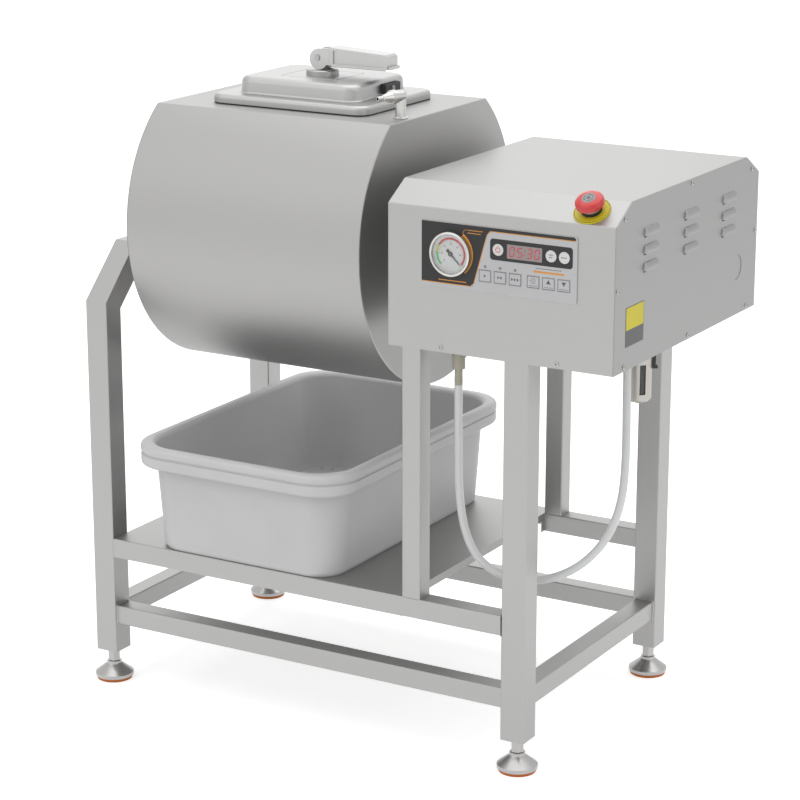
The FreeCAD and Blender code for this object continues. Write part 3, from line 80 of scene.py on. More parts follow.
def make_camera():
    data = bpy.data.cameras.new("camera")
    data.lens = VIEW_LENS
    data.sensor_width = 36.0
    data.clip_end = 60.0
    camera = new_object("camera", data)
    level = math.cos(VIEW_ELEVATION)
    back = Vector((math.sin(VIEW_AZIMUTH) * level, -math.cos(VIEW_AZIMUTH) * level, math.sin(VIEW_ELEVATION)))
    camera.location = VIEW_TARGET + back * VIEW_DISTANCE
    camera.rotation_euler = back.to_track_quat("Z", "Y").to_euler()
    bpy.context.scene.camera = camera


make_camera()


# ---- shader groups and materials
def new_group(name, inputs, outputs):
    """Node group with float or vector inputs, given as name: default, and float outputs."""
    group = bpy.data.node_groups.new(name, "ShaderNodeTree")
    for label, value in inputs.items():
        kind = "NodeSocketVector" if isinstance(value, tuple) else "NodeSocketFloat"
        socket = group.interface.new_socket(label, in_out="INPUT", socket_type=kind)
        socket.default_value = value
    for label in outputs:
        group.interface.new_socket(label, in_out="OUTPUT", socket_type="NodeSocketFloat")
    return group, group.nodes.new("NodeGroupInput"), group.nodes.new("NodeGroupOutput")


def add_noise(tree, vector, scale, detail):
    noise = tree.nodes.new("ShaderNodeTexNoise")
    noise.inputs["Scale"].default_value = scale
    noise.inputs["Detail"].default_value = detail
    tree.links.new(vector, noise.inputs["Vector"])
    return noise.outputs["Fac"]


def add_math(tree, operation, *values):
    """Math node on sockets or plain numbers."""
    node = tree.nodes.new("ShaderNodeMath")
    node.operation = operation
    for place, value in zip(node.inputs, values):
        if isinstance(value, (int, float)):
            place.default_value = value
        else:
            tree.links.new(value, place)
    return node.outputs["Value"]


def add_range(tree, value, low, high):
    """Map a 0 to 1 value to low to high."""
    node = tree.nodes.new("ShaderNodeMapRange")
    node.inputs["To Min"].default_value = low
    node.inputs["To Max"].default_value = high
    tree.links.new(value, node.inputs["Value"])
    return node.outputs["Result"]


def make_grain_group():
    """Brushed lines across a stretched vector, and the slow clouding of a handled sheet."""
    group, given, made = new_group("grain", {"Lines Vector": (0, 0, 0), "Cloud Vector": (0, 0, 0)},
                                   ("Lines", "Clouds"))
    fine = add_noise(group, given.outputs["Lines Vector"], 1.0, 4.0)
    clouds = add_noise(group, given.outputs["Cloud Vector"], 9.0, 3.0)
    group.links.new(fine, made.inputs["Lines"])
    group.links.new(clouds, made.inputs["Clouds"])
    return group


def make_speckle_group():
    """Fine even grit of a moulded or cast surface."""
    group, given, made = new_group("speckle", {"Vector": (0, 0, 0), "Scale": 1500.0}, ("Grit", "Clouds"))
    grit = group.nodes.new("ShaderNodeTexNoise")
    grit.inputs["Detail"].default_value = 2.0
    group.links.new(given.outputs["Vector"], grit.inputs["Vector"])
    group.links.new(given.outputs["Scale"], grit.inputs["Scale"])
    clouds = add_noise(group, given.outputs["Vector"], 14.0, 2.0)
    group.links.new(grit.outputs["Fac"], made.inputs["Grit"])
    group.links.new(clouds, made.inputs["Clouds"])
    return group


GRAIN = make_grain_group()
SPECKLE = make_speckle_group()


def new_material(name):
    material = bpy.data.materials.new(name)
    material.use_nodes = True
    tree = material.node_tree
    shader = tree.nodes["Principled BSDF"]
    coordinates = tree.nodes.new("ShaderNodeTexCoord")
    return material, tree, shader, coordinates.outputs["Object"]


def add_tone(tree, value, dark, light):
    """Colour between two tones of one value."""
    mix = tree.nodes.new("ShaderNodeMix")
    mix.data_type = "RGBA"
    mix.inputs["A"].default_value = (*dark, 1)
    mix.inputs["B"].default_value = (*light, 1)
    tree.links.new(value, mix.inputs["Factor"])
    return mix.outputs["Result"]


def add_bump(tree, shader, height, depth):
    bump = tree.nodes.new("ShaderNodeBump")
    bump.inputs["Strength"].default_value = 1.0
    bump.inputs["Distance"].default_value = depth
    tree.links.new(height, bump.inputs["Height"])
    tree.links.new(bump.outputs["Normal"], shader.inputs["Normal"])


def shade(color, factor):
    return tuple(channel * factor for channel in color)


LINES_ALONG, LINES_ACROSS = 16.0, 900.0


def brushed_steel(name, color, along, roughness=0.46, depth=0.00001, tilt=0.0, contrast=0.06):
    """Brushed stainless with its lines along an axis, which tilt turns about X."""
    material, tree, shader, place = new_material(name)
    mapping = tree.nodes.new("ShaderNodeMapping")
    mapping.inputs["Rotation"].default_value = (tilt, 0, 0)
    mapping.inputs["Scale"].default_value = [LINES_ALONG if axis == along else LINES_ACROSS for axis in "XYZ"]
    tree.links.new(place, mapping.inputs["Vector"])
    grain = tree.nodes.new("ShaderNodeGroup")
    grain.node_tree = GRAIN
    tree.links.new(mapping.outputs["Vector"], grain.inputs["Lines Vector"])
    tree.links.new(place, grain.inputs["Cloud Vector"])
    both = add_math(tree, "MULTIPLY_ADD", grain.outputs["Clouds"], 0.35,
                    add_math(tree, "MULTIPLY", grain.outputs["Lines"], 0.65))
    tone = add_tone(tree, both, shade(color, 1 - contrast), shade(color, 1 + contrast))
    tree.links.new(tone, shader.inputs["Base Color"])
    tree.links.new(add_range(tree, both, roughness - 0.05, roughness + 0.05), shader.inputs["Roughness"])
    shader.inputs["Metallic"].default_value = 1.0
    add_bump(tree, shader, grain.outputs["Lines"], depth)
    return material


def gritty(name, color, roughness=0.5, metallic=0.0, depth=0.00003, scale=1500.0, coat=0.0):
    """Moulded plastic, rubber, paint or cast metal: even grit and a slow change of tone."""
    material, tree, shader, place = new_material(name)
    speckle = tree.nodes.new("ShaderNodeGroup")
    speckle.node_tree = SPECKLE
    speckle.inputs["Scale"].default_value = scale
    tree.links.new(place, speckle.inputs["Vector"])
    tone = add_tone(tree, speckle.outputs["Clouds"], shade(color, 0.94), shade(color, 1.06))
    tree.links.new(tone, shader.inputs["Base Color"])
    tree.links.new(add_range(tree, speckle.outputs["Clouds"], roughness - 0.05, roughness + 0.05),
                   shader.inputs["Roughness"])
    shader.inputs["Metallic"].default_value = metallic
    shader.inputs["Coat Weight"].default_value = coat
    add_bump(tree, shader, speckle.outputs["Grit"], depth)
    return material


def make_glass(name, tint, roughness):
    material, tree, shader, place = new_material(name)
    smears = add_noise(tree, place, 60.0, 2.0)
    shader.inputs["Base Color"].default_value = (*tint, 1)
    tree.links.new(add_range(tree, smears, roughness, roughness + 0.04), shader.inputs["Roughness"])
    shader.inputs["Transmission Weight"].default_value = 1.0
    shader.inputs["IOR"].default_value = 1.45
    return material


def make_lit(name, color, strength):
    """Lit segment of the display, a little brighter towards the middle of its grain."""
    material, tree, shader, place = new_material(name)
    glow = add_noise(tree, place, 400.0, 1.0)
    tone = add_tone(tree, glow, shade(color, 0.9), color)
    tree.links.new(tone, shader.inputs["Base Color"])
    tree.links.new(tone, shader.inputs["Emission Color"])
    shader.inputs["Emission Strength"].default_value = strength
    shader.inputs["Roughness"].default_value = 0.4
    return material


STEEL = (0.40, 0.398, 0.392)
steel_x = brushed_steel("steel_lines_x", STEEL, "X")
steel_y = brushed_steel("steel_lines_y", STEEL, "Y")
steel_z = brushed_steel("steel_lines_z", STEEL, "Z")
steel_knee_front = brushed_steel("steel_lines_knee_front", STEEL, "Y", tilt=math.radians(-45))
steel_knee_rear = brushed_steel("steel_lines_knee_rear", STEEL, "Y", tilt=math.radians(45))
# Darker copy of the box steel for the right side panel: painted shade for the side that faces away from the
# lamps
side_steel_painted_shade = brushed_steel("side_lines_y_painted_shade", (0.33, 0.33, 0.328), "Y")
drum_steel = brushed_steel("drum_satin", (0.395, 0.392, 0.388), "X", 0.50, 0.000004, contrast=0.03)
lid_steel = brushed_steel("lid_satin", (0.44, 0.438, 0.435), "X", 0.42, 0.000003, contrast=0.03)
bright_steel = gritty("turned_steel", (0.42, 0.415, 0.41), 0.28, 1.0, 0.00001)
weld_steel = gritty("weld_bead", (0.5, 0.49, 0.47), 0.42, 1.0, 0.0001, 700.0)
nickel = gritty("polished_nickel", (0.56, 0.555, 0.54), 0.26, 1.0, 0.000003)
cast_metal = gritty("die_casting", (0.52, 0.52, 0.515), 0.42, 1.0, 0.00003)
guard_metal = gritty("filter_guard", (0.46, 0.44, 0.41), 0.45, 1.0, 0.00002)
casting_grey = gritty("bearing_paint", (0.22, 0.25, 0.28), 0.5, 0.0, 0.00008, 700.0)
motor_grey = gritty("motor_enamel", (0.18, 0.2, 0.23), 0.4, 0.0, 0.00004, 900.0)
board_green = gritty("board_mask", (0.02, 0.14, 0.06), 0.35)
black_plastic = gritty("black_plastic", (0.015, 0.015, 0.016), 0.45)
gasket_rubber = gritty("gasket_rubber", (0.02, 0.02, 0.021), 0.7)
tub_plastic = gritty("tub_plastic", (0.64, 0.64, 0.645), 0.5, 0.0, 0.00001, 1200.0)
cream_plastic = gritty("coupler_cream", (0.47, 0.45, 0.36), 0.45)
pad_orange = gritty("pad_orange", (0.56, 0.15, 0.02), 0.6, 0.0, 0.0002, 500.0)
estop_red = gritty("head_red", (0.62, 0.02, 0.02), 0.3, 0.0, 0.00001, 900.0, 0.4)
plate_yellow = gritty("plate_yellow", (0.66, 0.56, 0.02), 0.5)
plate_dark = gritty("plate_dark", (0.07, 0.07, 0.075), 0.4)
panel_black = gritty("panel_black", (0.016, 0.015, 0.016), 0.55)
panel_light = gritty("panel_light", (0.56, 0.56, 0.57), 0.45)
panel_orange = gritty("panel_orange", (0.72, 0.30, 0.04), 0.45)
ink_grey = gritty("ink_grey", (0.10, 0.10, 0.11), 0.5)
window_film = gritty("window_film", (0.34, 0.29, 0.29), 0.4, 0.0, 0.000002)
segment_red = make_lit("segment_red", (0.62, 0.01, 0.03), 0.12)
power_red = gritty("power_red", (0.66, 0.05, 0.06), 0.5)
dial_white = gritty("dial_white", (0.74, 0.74, 0.73), 0.5)
dial_red = gritty("dial_red", (0.58, 0.04, 0.04), 0.5)
dial_green = gritty("dial_green", (0.05, 0.50, 0.09), 0.5)
dial_yellow = gritty("dial_yellow", (0.55, 0.62, 0.05), 0.5)
button_grey = gritty("button_grey", (0.3, 0.3, 0.31), 0.4)
milky_hose = gritty("milky_hose", (0.76, 0.77, 0.77), 0.3, 0.0, 0.000008, 600.0, 0.3)
lens_glass = make_glass("lens_glass", (0.98, 0.99, 0.99), 0.02)
bowl_glass = make_glass("bowl_glass", (0.90, 0.90, 0.87), 0.08)


# ---- making shapes
CORNER_STEPS = 8


def outward(form):
    bmesh.ops.recalc_face_normals(form, faces=form.faces)


def weld_points(form, reach):
    bmesh.ops.remove_doubles(form, verts=form.verts, dist=reach)


def kept(made, kind):
    """Items of one kind among the geometry that an operator made."""
    return [item for item in made["geom"] if isinstance(item, kind)]


def turned(profile, steps=64):
    """Form turned round Z from a profile of (radius, height) points."""
    form = bmesh.new()
    points = [form.verts.new((radius, 0, height)) for radius, height in profile]
    edges = [form.edges.new(pair) for pair in zip(points, points[1:])]
    bmesh.ops.spin(form, geom=points + edges, axis=(0, 0, 1), cent=(0, 0, 0), angle=2 * math.pi,
                   steps=steps, use_merge=True)
    weld_points(form, 0.0005)
    outward(form)
    return form


def raise_faces(form, faces, height):
    """Pull flat faces up into a solid."""
    raised = bmesh.ops.extrude_face_region(form, geom=faces)
    bmesh.ops.translate(form, vec=(0, 0, height), verts=kept(raised, BMVert))
    outward(form)


def plate(outline, height, corner=0.0):
    """Flat plate on an outline, with its corners rounded."""
    form = bmesh.new()
    face = form.faces.new([form.verts.new((x, y, 0)) for x, y in outline])
    if corner:
        bmesh.ops.bevel(form, geom=face.verts[:], offset=corner, affect="VERTICES", segments=CORNER_STEPS,
                        profile=0.5, material=-1)
    raise_faces(form, form.faces[:], height)
    return form


def bar(width, depth, height, corner=0.0):
    """Upright block round the origin, with rounded upright corners."""
    x, y = width / 2, depth / 2
    return plate([(-x, -y), (x, -y), (x, y), (-x, y)], height, corner)


def corner_loop(form, half_x, half_y, corner, z):
    """Loop of edges on a rounded rectangle. A corner nearly as large as both halves makes a circle."""
    made = bmesh.ops.create_grid(form, x_segments=1, y_segments=1, size=1)
    bmesh.ops.scale(form, vec=(half_x, half_y, 1), verts=made["verts"])
    bmesh.ops.translate(form, vec=(0, 0, z), verts=made["verts"])
    rounded = bmesh.ops.bevel(form, geom=made["verts"], offset=corner, affect="VERTICES",
                              segments=CORNER_STEPS, profile=0.5, material=-1)
    face = rounded["verts"][0].link_faces[0]
    edges = face.edges[:]
    bmesh.ops.delete(form, geom=[face], context="FACES_ONLY")
    return edges


def loft(levels, closed=False):
    """Walls through rounded rectangles (half x, half y, corner, height). Returns also the end loops."""
    form = bmesh.new()
    first = corner_loop(form, *levels[0])
    edges = first
    rounds = levels + levels[:1] if closed else levels
    for before, after in zip(rounds, rounds[1:]):
        made = bmesh.ops.extrude_edge_only(form, edges=edges)
        verts = set(kept(made, BMVert))
        edges = [edge for edge in kept(made, BMEdge) if verts.issuperset(edge.verts)]
        for vert in verts:
            spot = []
            for value, half, next_half in zip(vert.co, before[:2], after[:2]):
                side = math.copysign(1, value)
                reach = (value - side * (half - before[2])) / before[2]
                spot.append(side * (next_half - after[2]) + reach * after[2])
            vert.co = (*spot, after[3])
    if closed:
        weld_points(form, 0.0005)
    return form, first, edges


def arc_band(inner, outer, start, sweep, height, steps=24):
    """Flat band of a ring from one angle through a sweep, in degrees, anticlockwise from X."""
    form = bmesh.new()
    turn = Matrix.Rotation(math.radians(start), 3, "Z")
    ends = [form.verts.new(turn @ Vector((radius, 0, 0))) for radius in (inner, outer)]
    edge = form.edges.new(ends)
    bmesh.ops.spin(form, geom=ends + [edge], axis=(0, 0, 1), cent=(0, 0, 0), angle=math.radians(sweep),
                   steps=steps)
    raise_faces(form, form.faces[:], height)
    return form


def soften(form, width, segments=2, chosen=None, angle=30):
    """Round the edges that turn more than an angle, or those of them that a test picks."""
    edges = []
    for edge in form.edges:
        if len(edge.link_faces) == 2 and edge.calc_face_angle() > math.radians(angle):
            if chosen is None or chosen((edge.verts[0].co + edge.verts[1].co) / 2):
                edges.append(edge)
    bmesh.ops.bevel(form, geom=edges, offset=width, affect="EDGES", segments=segments, profile=0.5,
                    material=-1, clamp_overlap=True)
    return form


def add_to(form, part, place=Matrix(), finish=0):
    """Set a finished shape into a form, in one of its finishes."""
    part.transform(place)
    for face in part.faces:
        face.material_index = finish
    loose = bpy.data.meshes.new("loose")
    part.to_mesh(loose)
    part.free()
    form.from_mesh(loose)
    bpy.data.meshes.remove(loose)


def at(*place):
    return Matrix.Translation(place)


def facing(start, axis):
    """Place at start, with its Z turned to an axis."""
    return Matrix.Translation(start) @ Vector(axis).to_track_quat("Z", "Y").to_matrix().to_4x4()


def turn(degrees, axis="Z"):
    return Matrix.Rotation(math.radians(degrees), 4, axis)


def settle(form, name, body, slot, finishes, replaces=(), sharp=32):
    """Scale a form to metres, smooth it between its sharp edges, and let it ride on its body."""
    bmesh.ops.scale(form, vec=(MM, MM, MM), verts=form.verts)
    mesh = bpy.data.meshes.new(name)
    form.to_mesh(mesh)
    form.free()
    for finish in finishes:
        mesh.materials.append(finish)
    mesh.shade_smooth()
    mesh.set_sharp_from_angle(angle=math.radians(sharp))
    piece = new_object(name, mesh)
    normals = piece.modifiers.new("even_normals", "WEIGHTED_NORMAL")
    normals.keep_sharp = True
    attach(piece, body)
    if replaces:
        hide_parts(*replaces)


def node_body(node):
    return next(body for body, nodes in frame["record"]["behaviour"]["bodies"].items() if node in nodes)


def node_slot(node):
    return next(row["material_slot"] for row in frame["record"]["subparts"] if row["node"] == node)


def merged_copy(node):
    """Welded copy of a CAD node in millimetres, with its flat faces in one piece each."""
    form = bmesh.new()
    form.from_mesh(frame["nodes"][node].data)
    bmesh.ops.scale(form, vec=(1 / MM, 1 / MM, 1 / MM), verts=form.verts)
    weld_points(form, 0.001)
    bmesh.ops.dissolve_limit(form, angle_limit=math.radians(0.1), verts=form.verts, edges=form.edges)
    return form


def dress_node(node, finishes, paint=None, form=None):
    """CAD node in its finishes: paint gives each face's place among them."""
    form = form or merged_copy(node)
    if paint:
        for face in form.faces:
            face.material_index = paint(face)
    settle(form, node + "_dressed", node_body(node), node_slot(node), finishes, [node])


# ---- hose
HOSE_RADIUS = 6.0 * MM
HOSE_ROUTE = [
    (0.1824, -0.1960, 0.5550),
    (0.1824, -0.1960, 0.4920),
    (0.1840, -0.1954, 0.3700),
    (0.2040, -0.1900, 0.3030),
    (0.2430, -0.1770, 0.2715),
    (0.2980, -0.1610, 0.2690),
    (0.3480, -0.1460, 0.2910),
    (0.3830, -0.1250, 0.3310),
    (0.3965, -0.1030, 0.3810),
    (0.3945, -0.0850, 0.4400),
    (0.3810, -0.0600, 0.5480),
    (0.3810, -0.0600, 0.5900),
]


def make_hose():
    curve = bpy.data.curves.new("vacuum_hose", "CURVE")
    curve.dimensions = "3D"
    curve.bevel_depth = HOSE_RADIUS - 0.02 * MM
    curve.bevel_resolution = 8
    curve.resolution_u = 10
    curve.use_fill_caps = True
    spline = curve.splines.new("NURBS")
    spline.points.add(len(HOSE_ROUTE) - 1)
    for point, place in zip(spline.points, HOSE_ROUTE):
        point.co = (*place, 1)
    spline.order_u = 3
    spline.use_endpoint_u = True
    curve.materials.append(milky_hose)
    piece = new_object("vacuum_hose", curve)
    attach(piece, "machine")
    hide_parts("hose")


# ---- frame
LEG_SIDE = box("right_legs")[1].x - box("right_legs")[0].x
RAIL_SIDE = box("mid_rails")[1].z - box("mid_rails")[0].z
WELD, WELD_CORNER, WELD_CLEAR, WELD_LIFT = 1.1, 2.2, 0.2, 0.1


def make_left_arch():
    """Cross tube and the two sloping tubes of the portal, each brushed along its own length."""
    low, high = box("left_arch")
    knee = high.y - (high.z - low.z)

    def paint(face):
        across = face.calc_center_median().y
        if abs(across) < knee:
            return 0
        return 1 if across < 0 else 2

    dress_node("left_arch", [steel_y, steel_knee_front, steel_knee_rear], paint)


def make_low_rails():
    """Low rails, brushed along the machine or across it."""
    line = box("low_rails")[1].y - RAIL_SIDE - 1
    dress_node("low_rails", [steel_x, steel_y],
               lambda face: 0 if abs(face.calc_center_median().y) > line else 1)


def weld_ring(form, centre, axis):
    """Ground weld bead round the end of a rail."""
    half = RAIL_SIDE / 2 + WELD_CLEAR
    reach = half + WELD
    bead, *_ = loft([(half, half, WELD_CORNER, WELD_LIFT), (reach, reach, WELD_CORNER + WELD, WELD_LIFT),
                     (half, half, WELD_CORNER, WELD)], closed=True)
    outward(bead)
    add_to(form, bead, facing(centre, axis))


def make_welds():
    """Beads where the rails meet the legs."""
    form = bmesh.new()
    left, right = box("left_legs")[1].x, box("right_legs")[0].x
    level_mid, level_low = middle("mid_rails").z, middle("low_rails").z
    line_mid = box("mid_rails")[1].y - RAIL_SIDE / 2
    line_low = (box("right_legs")[1].y - box("right_legs")[0].y) / 2 - LEG_SIDE / 2
    for side in (-1, 1):
        weld_ring(form, (right, side * line_mid, level_mid), -X)
        weld_ring(form, (right, side * line_low, level_low), -X)
        weld_ring(form, (left, side * line_low, level_low), X)
        for x in (left - LEG_SIDE / 2, right + LEG_SIDE / 2):
            weld_ring(form, (x, side * (line_low - LEG_SIDE / 2), level_low), -side * Y)
    settle(form, "rail_welds", "machine", "frame_tube", [weld_steel])


# ---- feet
FOOT_RADIUS = 30.0
NUT_LOW, NUT_TOP = 29.0, 49.7
THREAD_RADIUS, THREAD_ROOT, THREAD_PITCH = 6.0, 5.3, 1.5


def make_foot(node):
    """Levelling foot: rubber pad, turned bell, hexagon and threaded stem."""
    low, high = box(node)
    form = bmesh.new()
    pad = soften(turned([(0, 0), (27.2, 0), (27.9, 2.2), (27.6, 5.2), (0, 5.2)]), 0.5)
    add_to(form, pad, finish=1)
    bell = turned([(0, 4.6), (28.6, 4.6), (FOOT_RADIUS, 5.4), (FOOT_RADIUS, 10.4), (29.4, 11), (21, 17.4),
                   (13.6, 23.2), (11.6, 25.4), (11.5, 28.6), (10.9, 29.2), (0, 29.2)])
    add_to(form, soften(bell, 0.5, 3, angle=20))
    nut = turned([(6.05, NUT_LOW), (9.1, NUT_LOW), (9.8, 29.7), (9.8, 49), (9.1, NUT_TOP),
                  (6.05, NUT_TOP)], 6)
    add_to(form, nut)
    thread = [(0, NUT_LOW)]
    level = NUT_TOP
    while level < high.z - 2:
        thread += [(THREAD_ROOT, level), (THREAD_RADIUS, level + 0.45), (THREAD_RADIUS, level + 0.6),
                   (THREAD_ROOT, level + 1.05)]
        level += THREAD_PITCH
    thread += [(5, high.z), (0, high.z)]
    add_to(form, turned(thread, 24))
    form.transform(at((low.x + high.x) / 2, (low.y + high.y) / 2, 0))
    settle(form, node + "_turned", node, "foot_steel", [bright_steel, pad_orange], [node])


# ---- control box
BOX_LOW, BOX_HIGH = box("box_wrap")
CHAMFER_RUN, CHAMFER_RISE = 46.5, 27.8
SIDE_SHEET = 1.5
SIDE_FACE = BOX_HIGH.x + SIDE_SHEET
PANEL_LOW, PANEL_HIGH = box("panel_overlay")
FRONT = at(0, PANEL_LOW.y, 0) @ turn(90, "X")
SIDE = Matrix(((0, 0, 1, SIDE_FACE), (1, 0, 0, 0), (0, 1, 0, 0), (0, 0, 0, 1)))
LOUVRE_PITCH_Y, LOUVRE_PITCH_Z = 132.5, 24.3
LOUVRE_LOW = 746.0
LOUVRE_HALF, LOUVRE_RISE, LOUVRE_REACH = 18.0, 7.0, 4.6


def louvre_hood():
    """Pressed hood: an arched sheet drawn along its length and turned round to the panel at both ends."""
    form = bmesh.new()
    outline = [(0.0, LOUVRE_RISE), (1.4, 6.3), (3.0, 4.6), (4.1, 2.2), (LOUVRE_REACH, -0.8),
               (LOUVRE_REACH - 0.2, -3.4), (LOUVRE_REACH - 0.6, -5.0)]
    points = [form.verts.new((-LOUVRE_HALF, height, reach)) for reach, height in outline]
    edges = [form.edges.new(pair) for pair in zip(points, points[1:])]
    run = bmesh.ops.extrude_edge_only(form, edges=edges)
    far, far_edges = kept(run, BMVert), kept(run, BMEdge)
    bmesh.ops.translate(form, vec=(2 * LOUVRE_HALF, 0, 0), verts=far)
    for verts, ends, side in ((points, edges, -1), (far, far_edges, 1)):
        bmesh.ops.spin(form, geom=verts + ends, axis=(0, 1, 0), cent=(side * LOUVRE_HALF, 0, 0),
                       angle=side * math.pi / 2, steps=8)
    weld_points(form, 0.001)
    outward(form)
    if sum(face.normal.z * face.calc_area() for face in form.faces) < 0:
        bmesh.ops.reverse_faces(form, faces=form.faces)
    bmesh.ops.solidify(form, geom=form.faces[:], thickness=0.9)
    return form


def edge_of_panel(place):
    """Whether a place is on the outline of the box and not at a louvre."""
    return abs(place.y) > BOX_HIGH.y - 0.5 or place.z > BOX_HIGH.z - 0.5 or place.z < BOX_LOW.z + 0.5 \
        or abs(place.y) + place.z > BOX_HIGH.y + BOX_HIGH.z - CHAMFER_RUN - 0.5


def make_side_panel():
    """Side panel with its sheet edges broken, and smooth hoods over its slots."""
    form = merged_copy("side_panel")
    proud = [face for face in form.faces if max(vert.co.x for vert in face.verts) > SIDE_FACE + 0.02]
    bmesh.ops.delete(form, geom=proud, context="FACES")
    soften(form, 0.4, 2, lambda place: place.x > SIDE_FACE - 1.6 and edge_of_panel(place), angle=60)
    for column in (-1, 0, 1):
        for row in range(3):
            spot = at(column * LOUVRE_PITCH_Y, LOUVRE_LOW + row * LOUVRE_PITCH_Z, 0)
            add_to(form, louvre_hood(), SIDE @ spot)
    # The panel takes the darker steel copy, whose darker tone is painted shade
    dress_node("side_panel", [side_steel_painted_shade], form=form)


def solid_middles(form):
    """Middles of the separate solids in a form, in order of place."""
    middles = []
    left = set(form.verts)
    while left:
        group = {left.pop()}
        front = list(group)
        while front:
            vert = front.pop()
            near = {edge.other_vert(vert) for edge in vert.link_edges} - group
            group |= near
            front += near
        left -= group
        spans = [[vert.co[axis] for vert in group] for axis in range(3)]
        middles.append(tuple((min(span) + max(span)) / 2 for span in spans))
    return sorted(middles)


def make_screws():
    """Pan heads, each with a thin black cross laid on top as painted shade for a cross recess."""
    form = bmesh.new()
    source = merged_copy("panel_screws")
    centres = solid_middles(source)
    source.free()
    for x, y, z in centres:
        place = facing((SIDE_FACE, y, z), X) if x > BOX_HIGH.x else facing((x, BOX_LOW.y, z), -Y)
        head = turned([(0, -0.2), (3.6, -0.2), (3.6, 0.7), (3.1, 1.4), (2.0, 1.85), (0, 2.0)], 32)
        add_to(form, head, place)
        # Black bars stand for the recess: painted shade, not a cut hole
        for angle in (20, 110):
            add_to(form, bar(3.6, 0.7, 0.1), place @ at(0, 0, 1.93) @ turn(angle), 1)
    settle(form, "panel_screws_turned", "machine", "fastener_steel", [bright_steel, black_plastic],
           ["panel_screws"])


def make_label():
    """Blank two-tone plate on the side panel."""
    form = bmesh.new()
    spot = SIDE @ at(-179, 672.5, 0)
    add_to(form, bar(56.6, 55.4, 0.25, 1.0), spot)
    add_to(form, bar(54.6, 31, 0.10, 0.6), spot @ at(0, 11.2, 0.2), 1)
    settle(form, "blank_plate", "machine", "estop_yellow", [plate_dark, plate_yellow])


# ---- control panel
GAUGE = middle("gauge_lens")
WINDOW_X, WINDOW_Z, WINDOW_WIDTH, WINDOW_HEIGHT = 309.3, 767.5, 54.0, 20.0
MODULE_LEFT, MODULE_RIGHT, MODULE_LOW, MODULE_HIGH = 256.5, 382.5, 753.5, 783.0
LAMPS, LAMP_LEVEL = (248.9, 272.2, 295.5), 742.4
ROUND_KEYS = ("key_power", "key_set", "key_start")
SPEED_KEYS = ("key_slow", "key_medium", "key_fast")
LIGHT, BLACK, ORANGE, GREY = range(4)
INK = 0.05


def ink(form, outline, layer, finish, corner=0.0):
    """Printed patch on the panel's face, layer by layer."""
    add_to(form, plate(outline, INK * layer + 0.01, corner), FRONT @ at(0, 0, -0.01), finish)


def strip(form, points, width, layer, finish):
    """Printed line through points."""
    for (x0, z0), (x1, z1) in zip(points, points[1:]):
        run = Vector((x1 - x0, z1 - z0, 0))
        place = FRONT @ at((x0 + x1) / 2, (z0 + z1) / 2, -0.01) @ turn(math.degrees(math.atan2(run.y, run.x)))
        add_to(form, bar(run.length + width, width, INK * layer + 0.01, width * 0.49), place, finish)


def dashes(form, left, level, count, pitch, long, width, finish):
    """Row of short printed dashes, where a caption would be."""
    for step in range(count):
        start = left + step * pitch
        strip(form, [(start, level), (start + long, level)], width, 2, finish)


def crescent():
    """Printed band round the gauge, which swells from one end to the other."""
    inner, start, sweep = 32.4, -50, 108
    form = arc_band(inner, 36.8, start, sweep, INK * 2)
    for vert in form.verts:
        reach = math.hypot(vert.co.x, vert.co.y)
        if reach > 34:
            along = (math.degrees(math.atan2(vert.co.y, vert.co.x)) - start) / sweep
            scale = (inner + 1.2 + 2.3 * max(0.0, min(1.0, along)) ** 1.3) / reach
            vert.co.x *= scale
            vert.co.y *= scale
    return form


def make_panel():
    """Panel plate with its printed field, lines, lamps and marks."""
    form = merged_copy("panel_overlay")
    for face in form.faces:
        face.material_index = LIGHT
    left, right = PANEL_LOW.x, PANEL_HIGH.x
    top, low = PANEL_HIGH.z - 0.2, 712.5
    band = 792.8
    field = [(left + 0.2, low), (226, low), (231, 717), (250.5, 786), (256, band), (right - 3.5, band),
             (right - 1.2, band + 1.6), (right - 4.5, top), (left + 0.2, top)]
    line = [(left + 0.2, low - 0.5), (225.5, low - 0.5), (229.2, 713.8), (231.6, 717.5), (250.8, 784.6),
            (253, 789), (257.2, band - 0.5), (right - 2.5, band - 0.5)]
    ink(form, field, 1, BLACK)
    strip(form, line, 1.1, 2, ORANGE)
    add_to(form, crescent(), FRONT @ at(GAUGE.x, GAUGE.z, 0), ORANGE)
    strip(form, [(213.4, 785.6), (216.2, 790.0), (219.4, 790.6)], 0.7, 2, ORANGE)
    dashes(form, 221.5, 790.4, 8, 3.0, 1.7, 1.1, ORANGE)
    dashes(form, 221.5, 786.5, 7, 3.0, 1.7, 1.1, ORANGE)
    dashes(form, 176.5, 716.6, 13, 3.4, 1.7, 1.5, ORANGE)
    strip(form, [(324.6, 744.4), (369, 744.4)], 2.6, 2, ORANGE)
    dashes(form, 327.0, 749.2, 12, 3.3, 1.6, 1.0, GREY)
    for x in LAMPS:
        for side, finish, layer in ((3.6, GREY, 1), (2.4, LIGHT, 2)):
            add_to(form, bar(side, side, INK * layer + 0.01), FRONT @ at(x, LAMP_LEVEL, -0.01), finish)
        strip(form, [(x - 0.6, LAMP_LEVEL), (x + 0.6, LAMP_LEVEL)], 1.2, 3, GREY)
    settle(form, "panel_printed", "machine", "panel_black",
           [panel_light, panel_black, panel_orange, ink_grey], ["panel_overlay"])


def rounded_loop(form, x, y, half_x, half_y, corner):
    """Flat rounded loop of edges set at a place."""
    edges = corner_loop(form, half_x, half_y, corner, 0)
    bmesh.ops.translate(form, vec=(x, y, 0), verts=list({vert for edge in edges for vert in edge.verts}))


def circle_loop(form, x, y, radius, steps=48):
    made = bmesh.ops.create_circle(form, cap_ends=False, radius=radius, segments=steps)
    bmesh.ops.translate(form, vec=(x, y, 0), verts=made["verts"])
    return made["verts"]


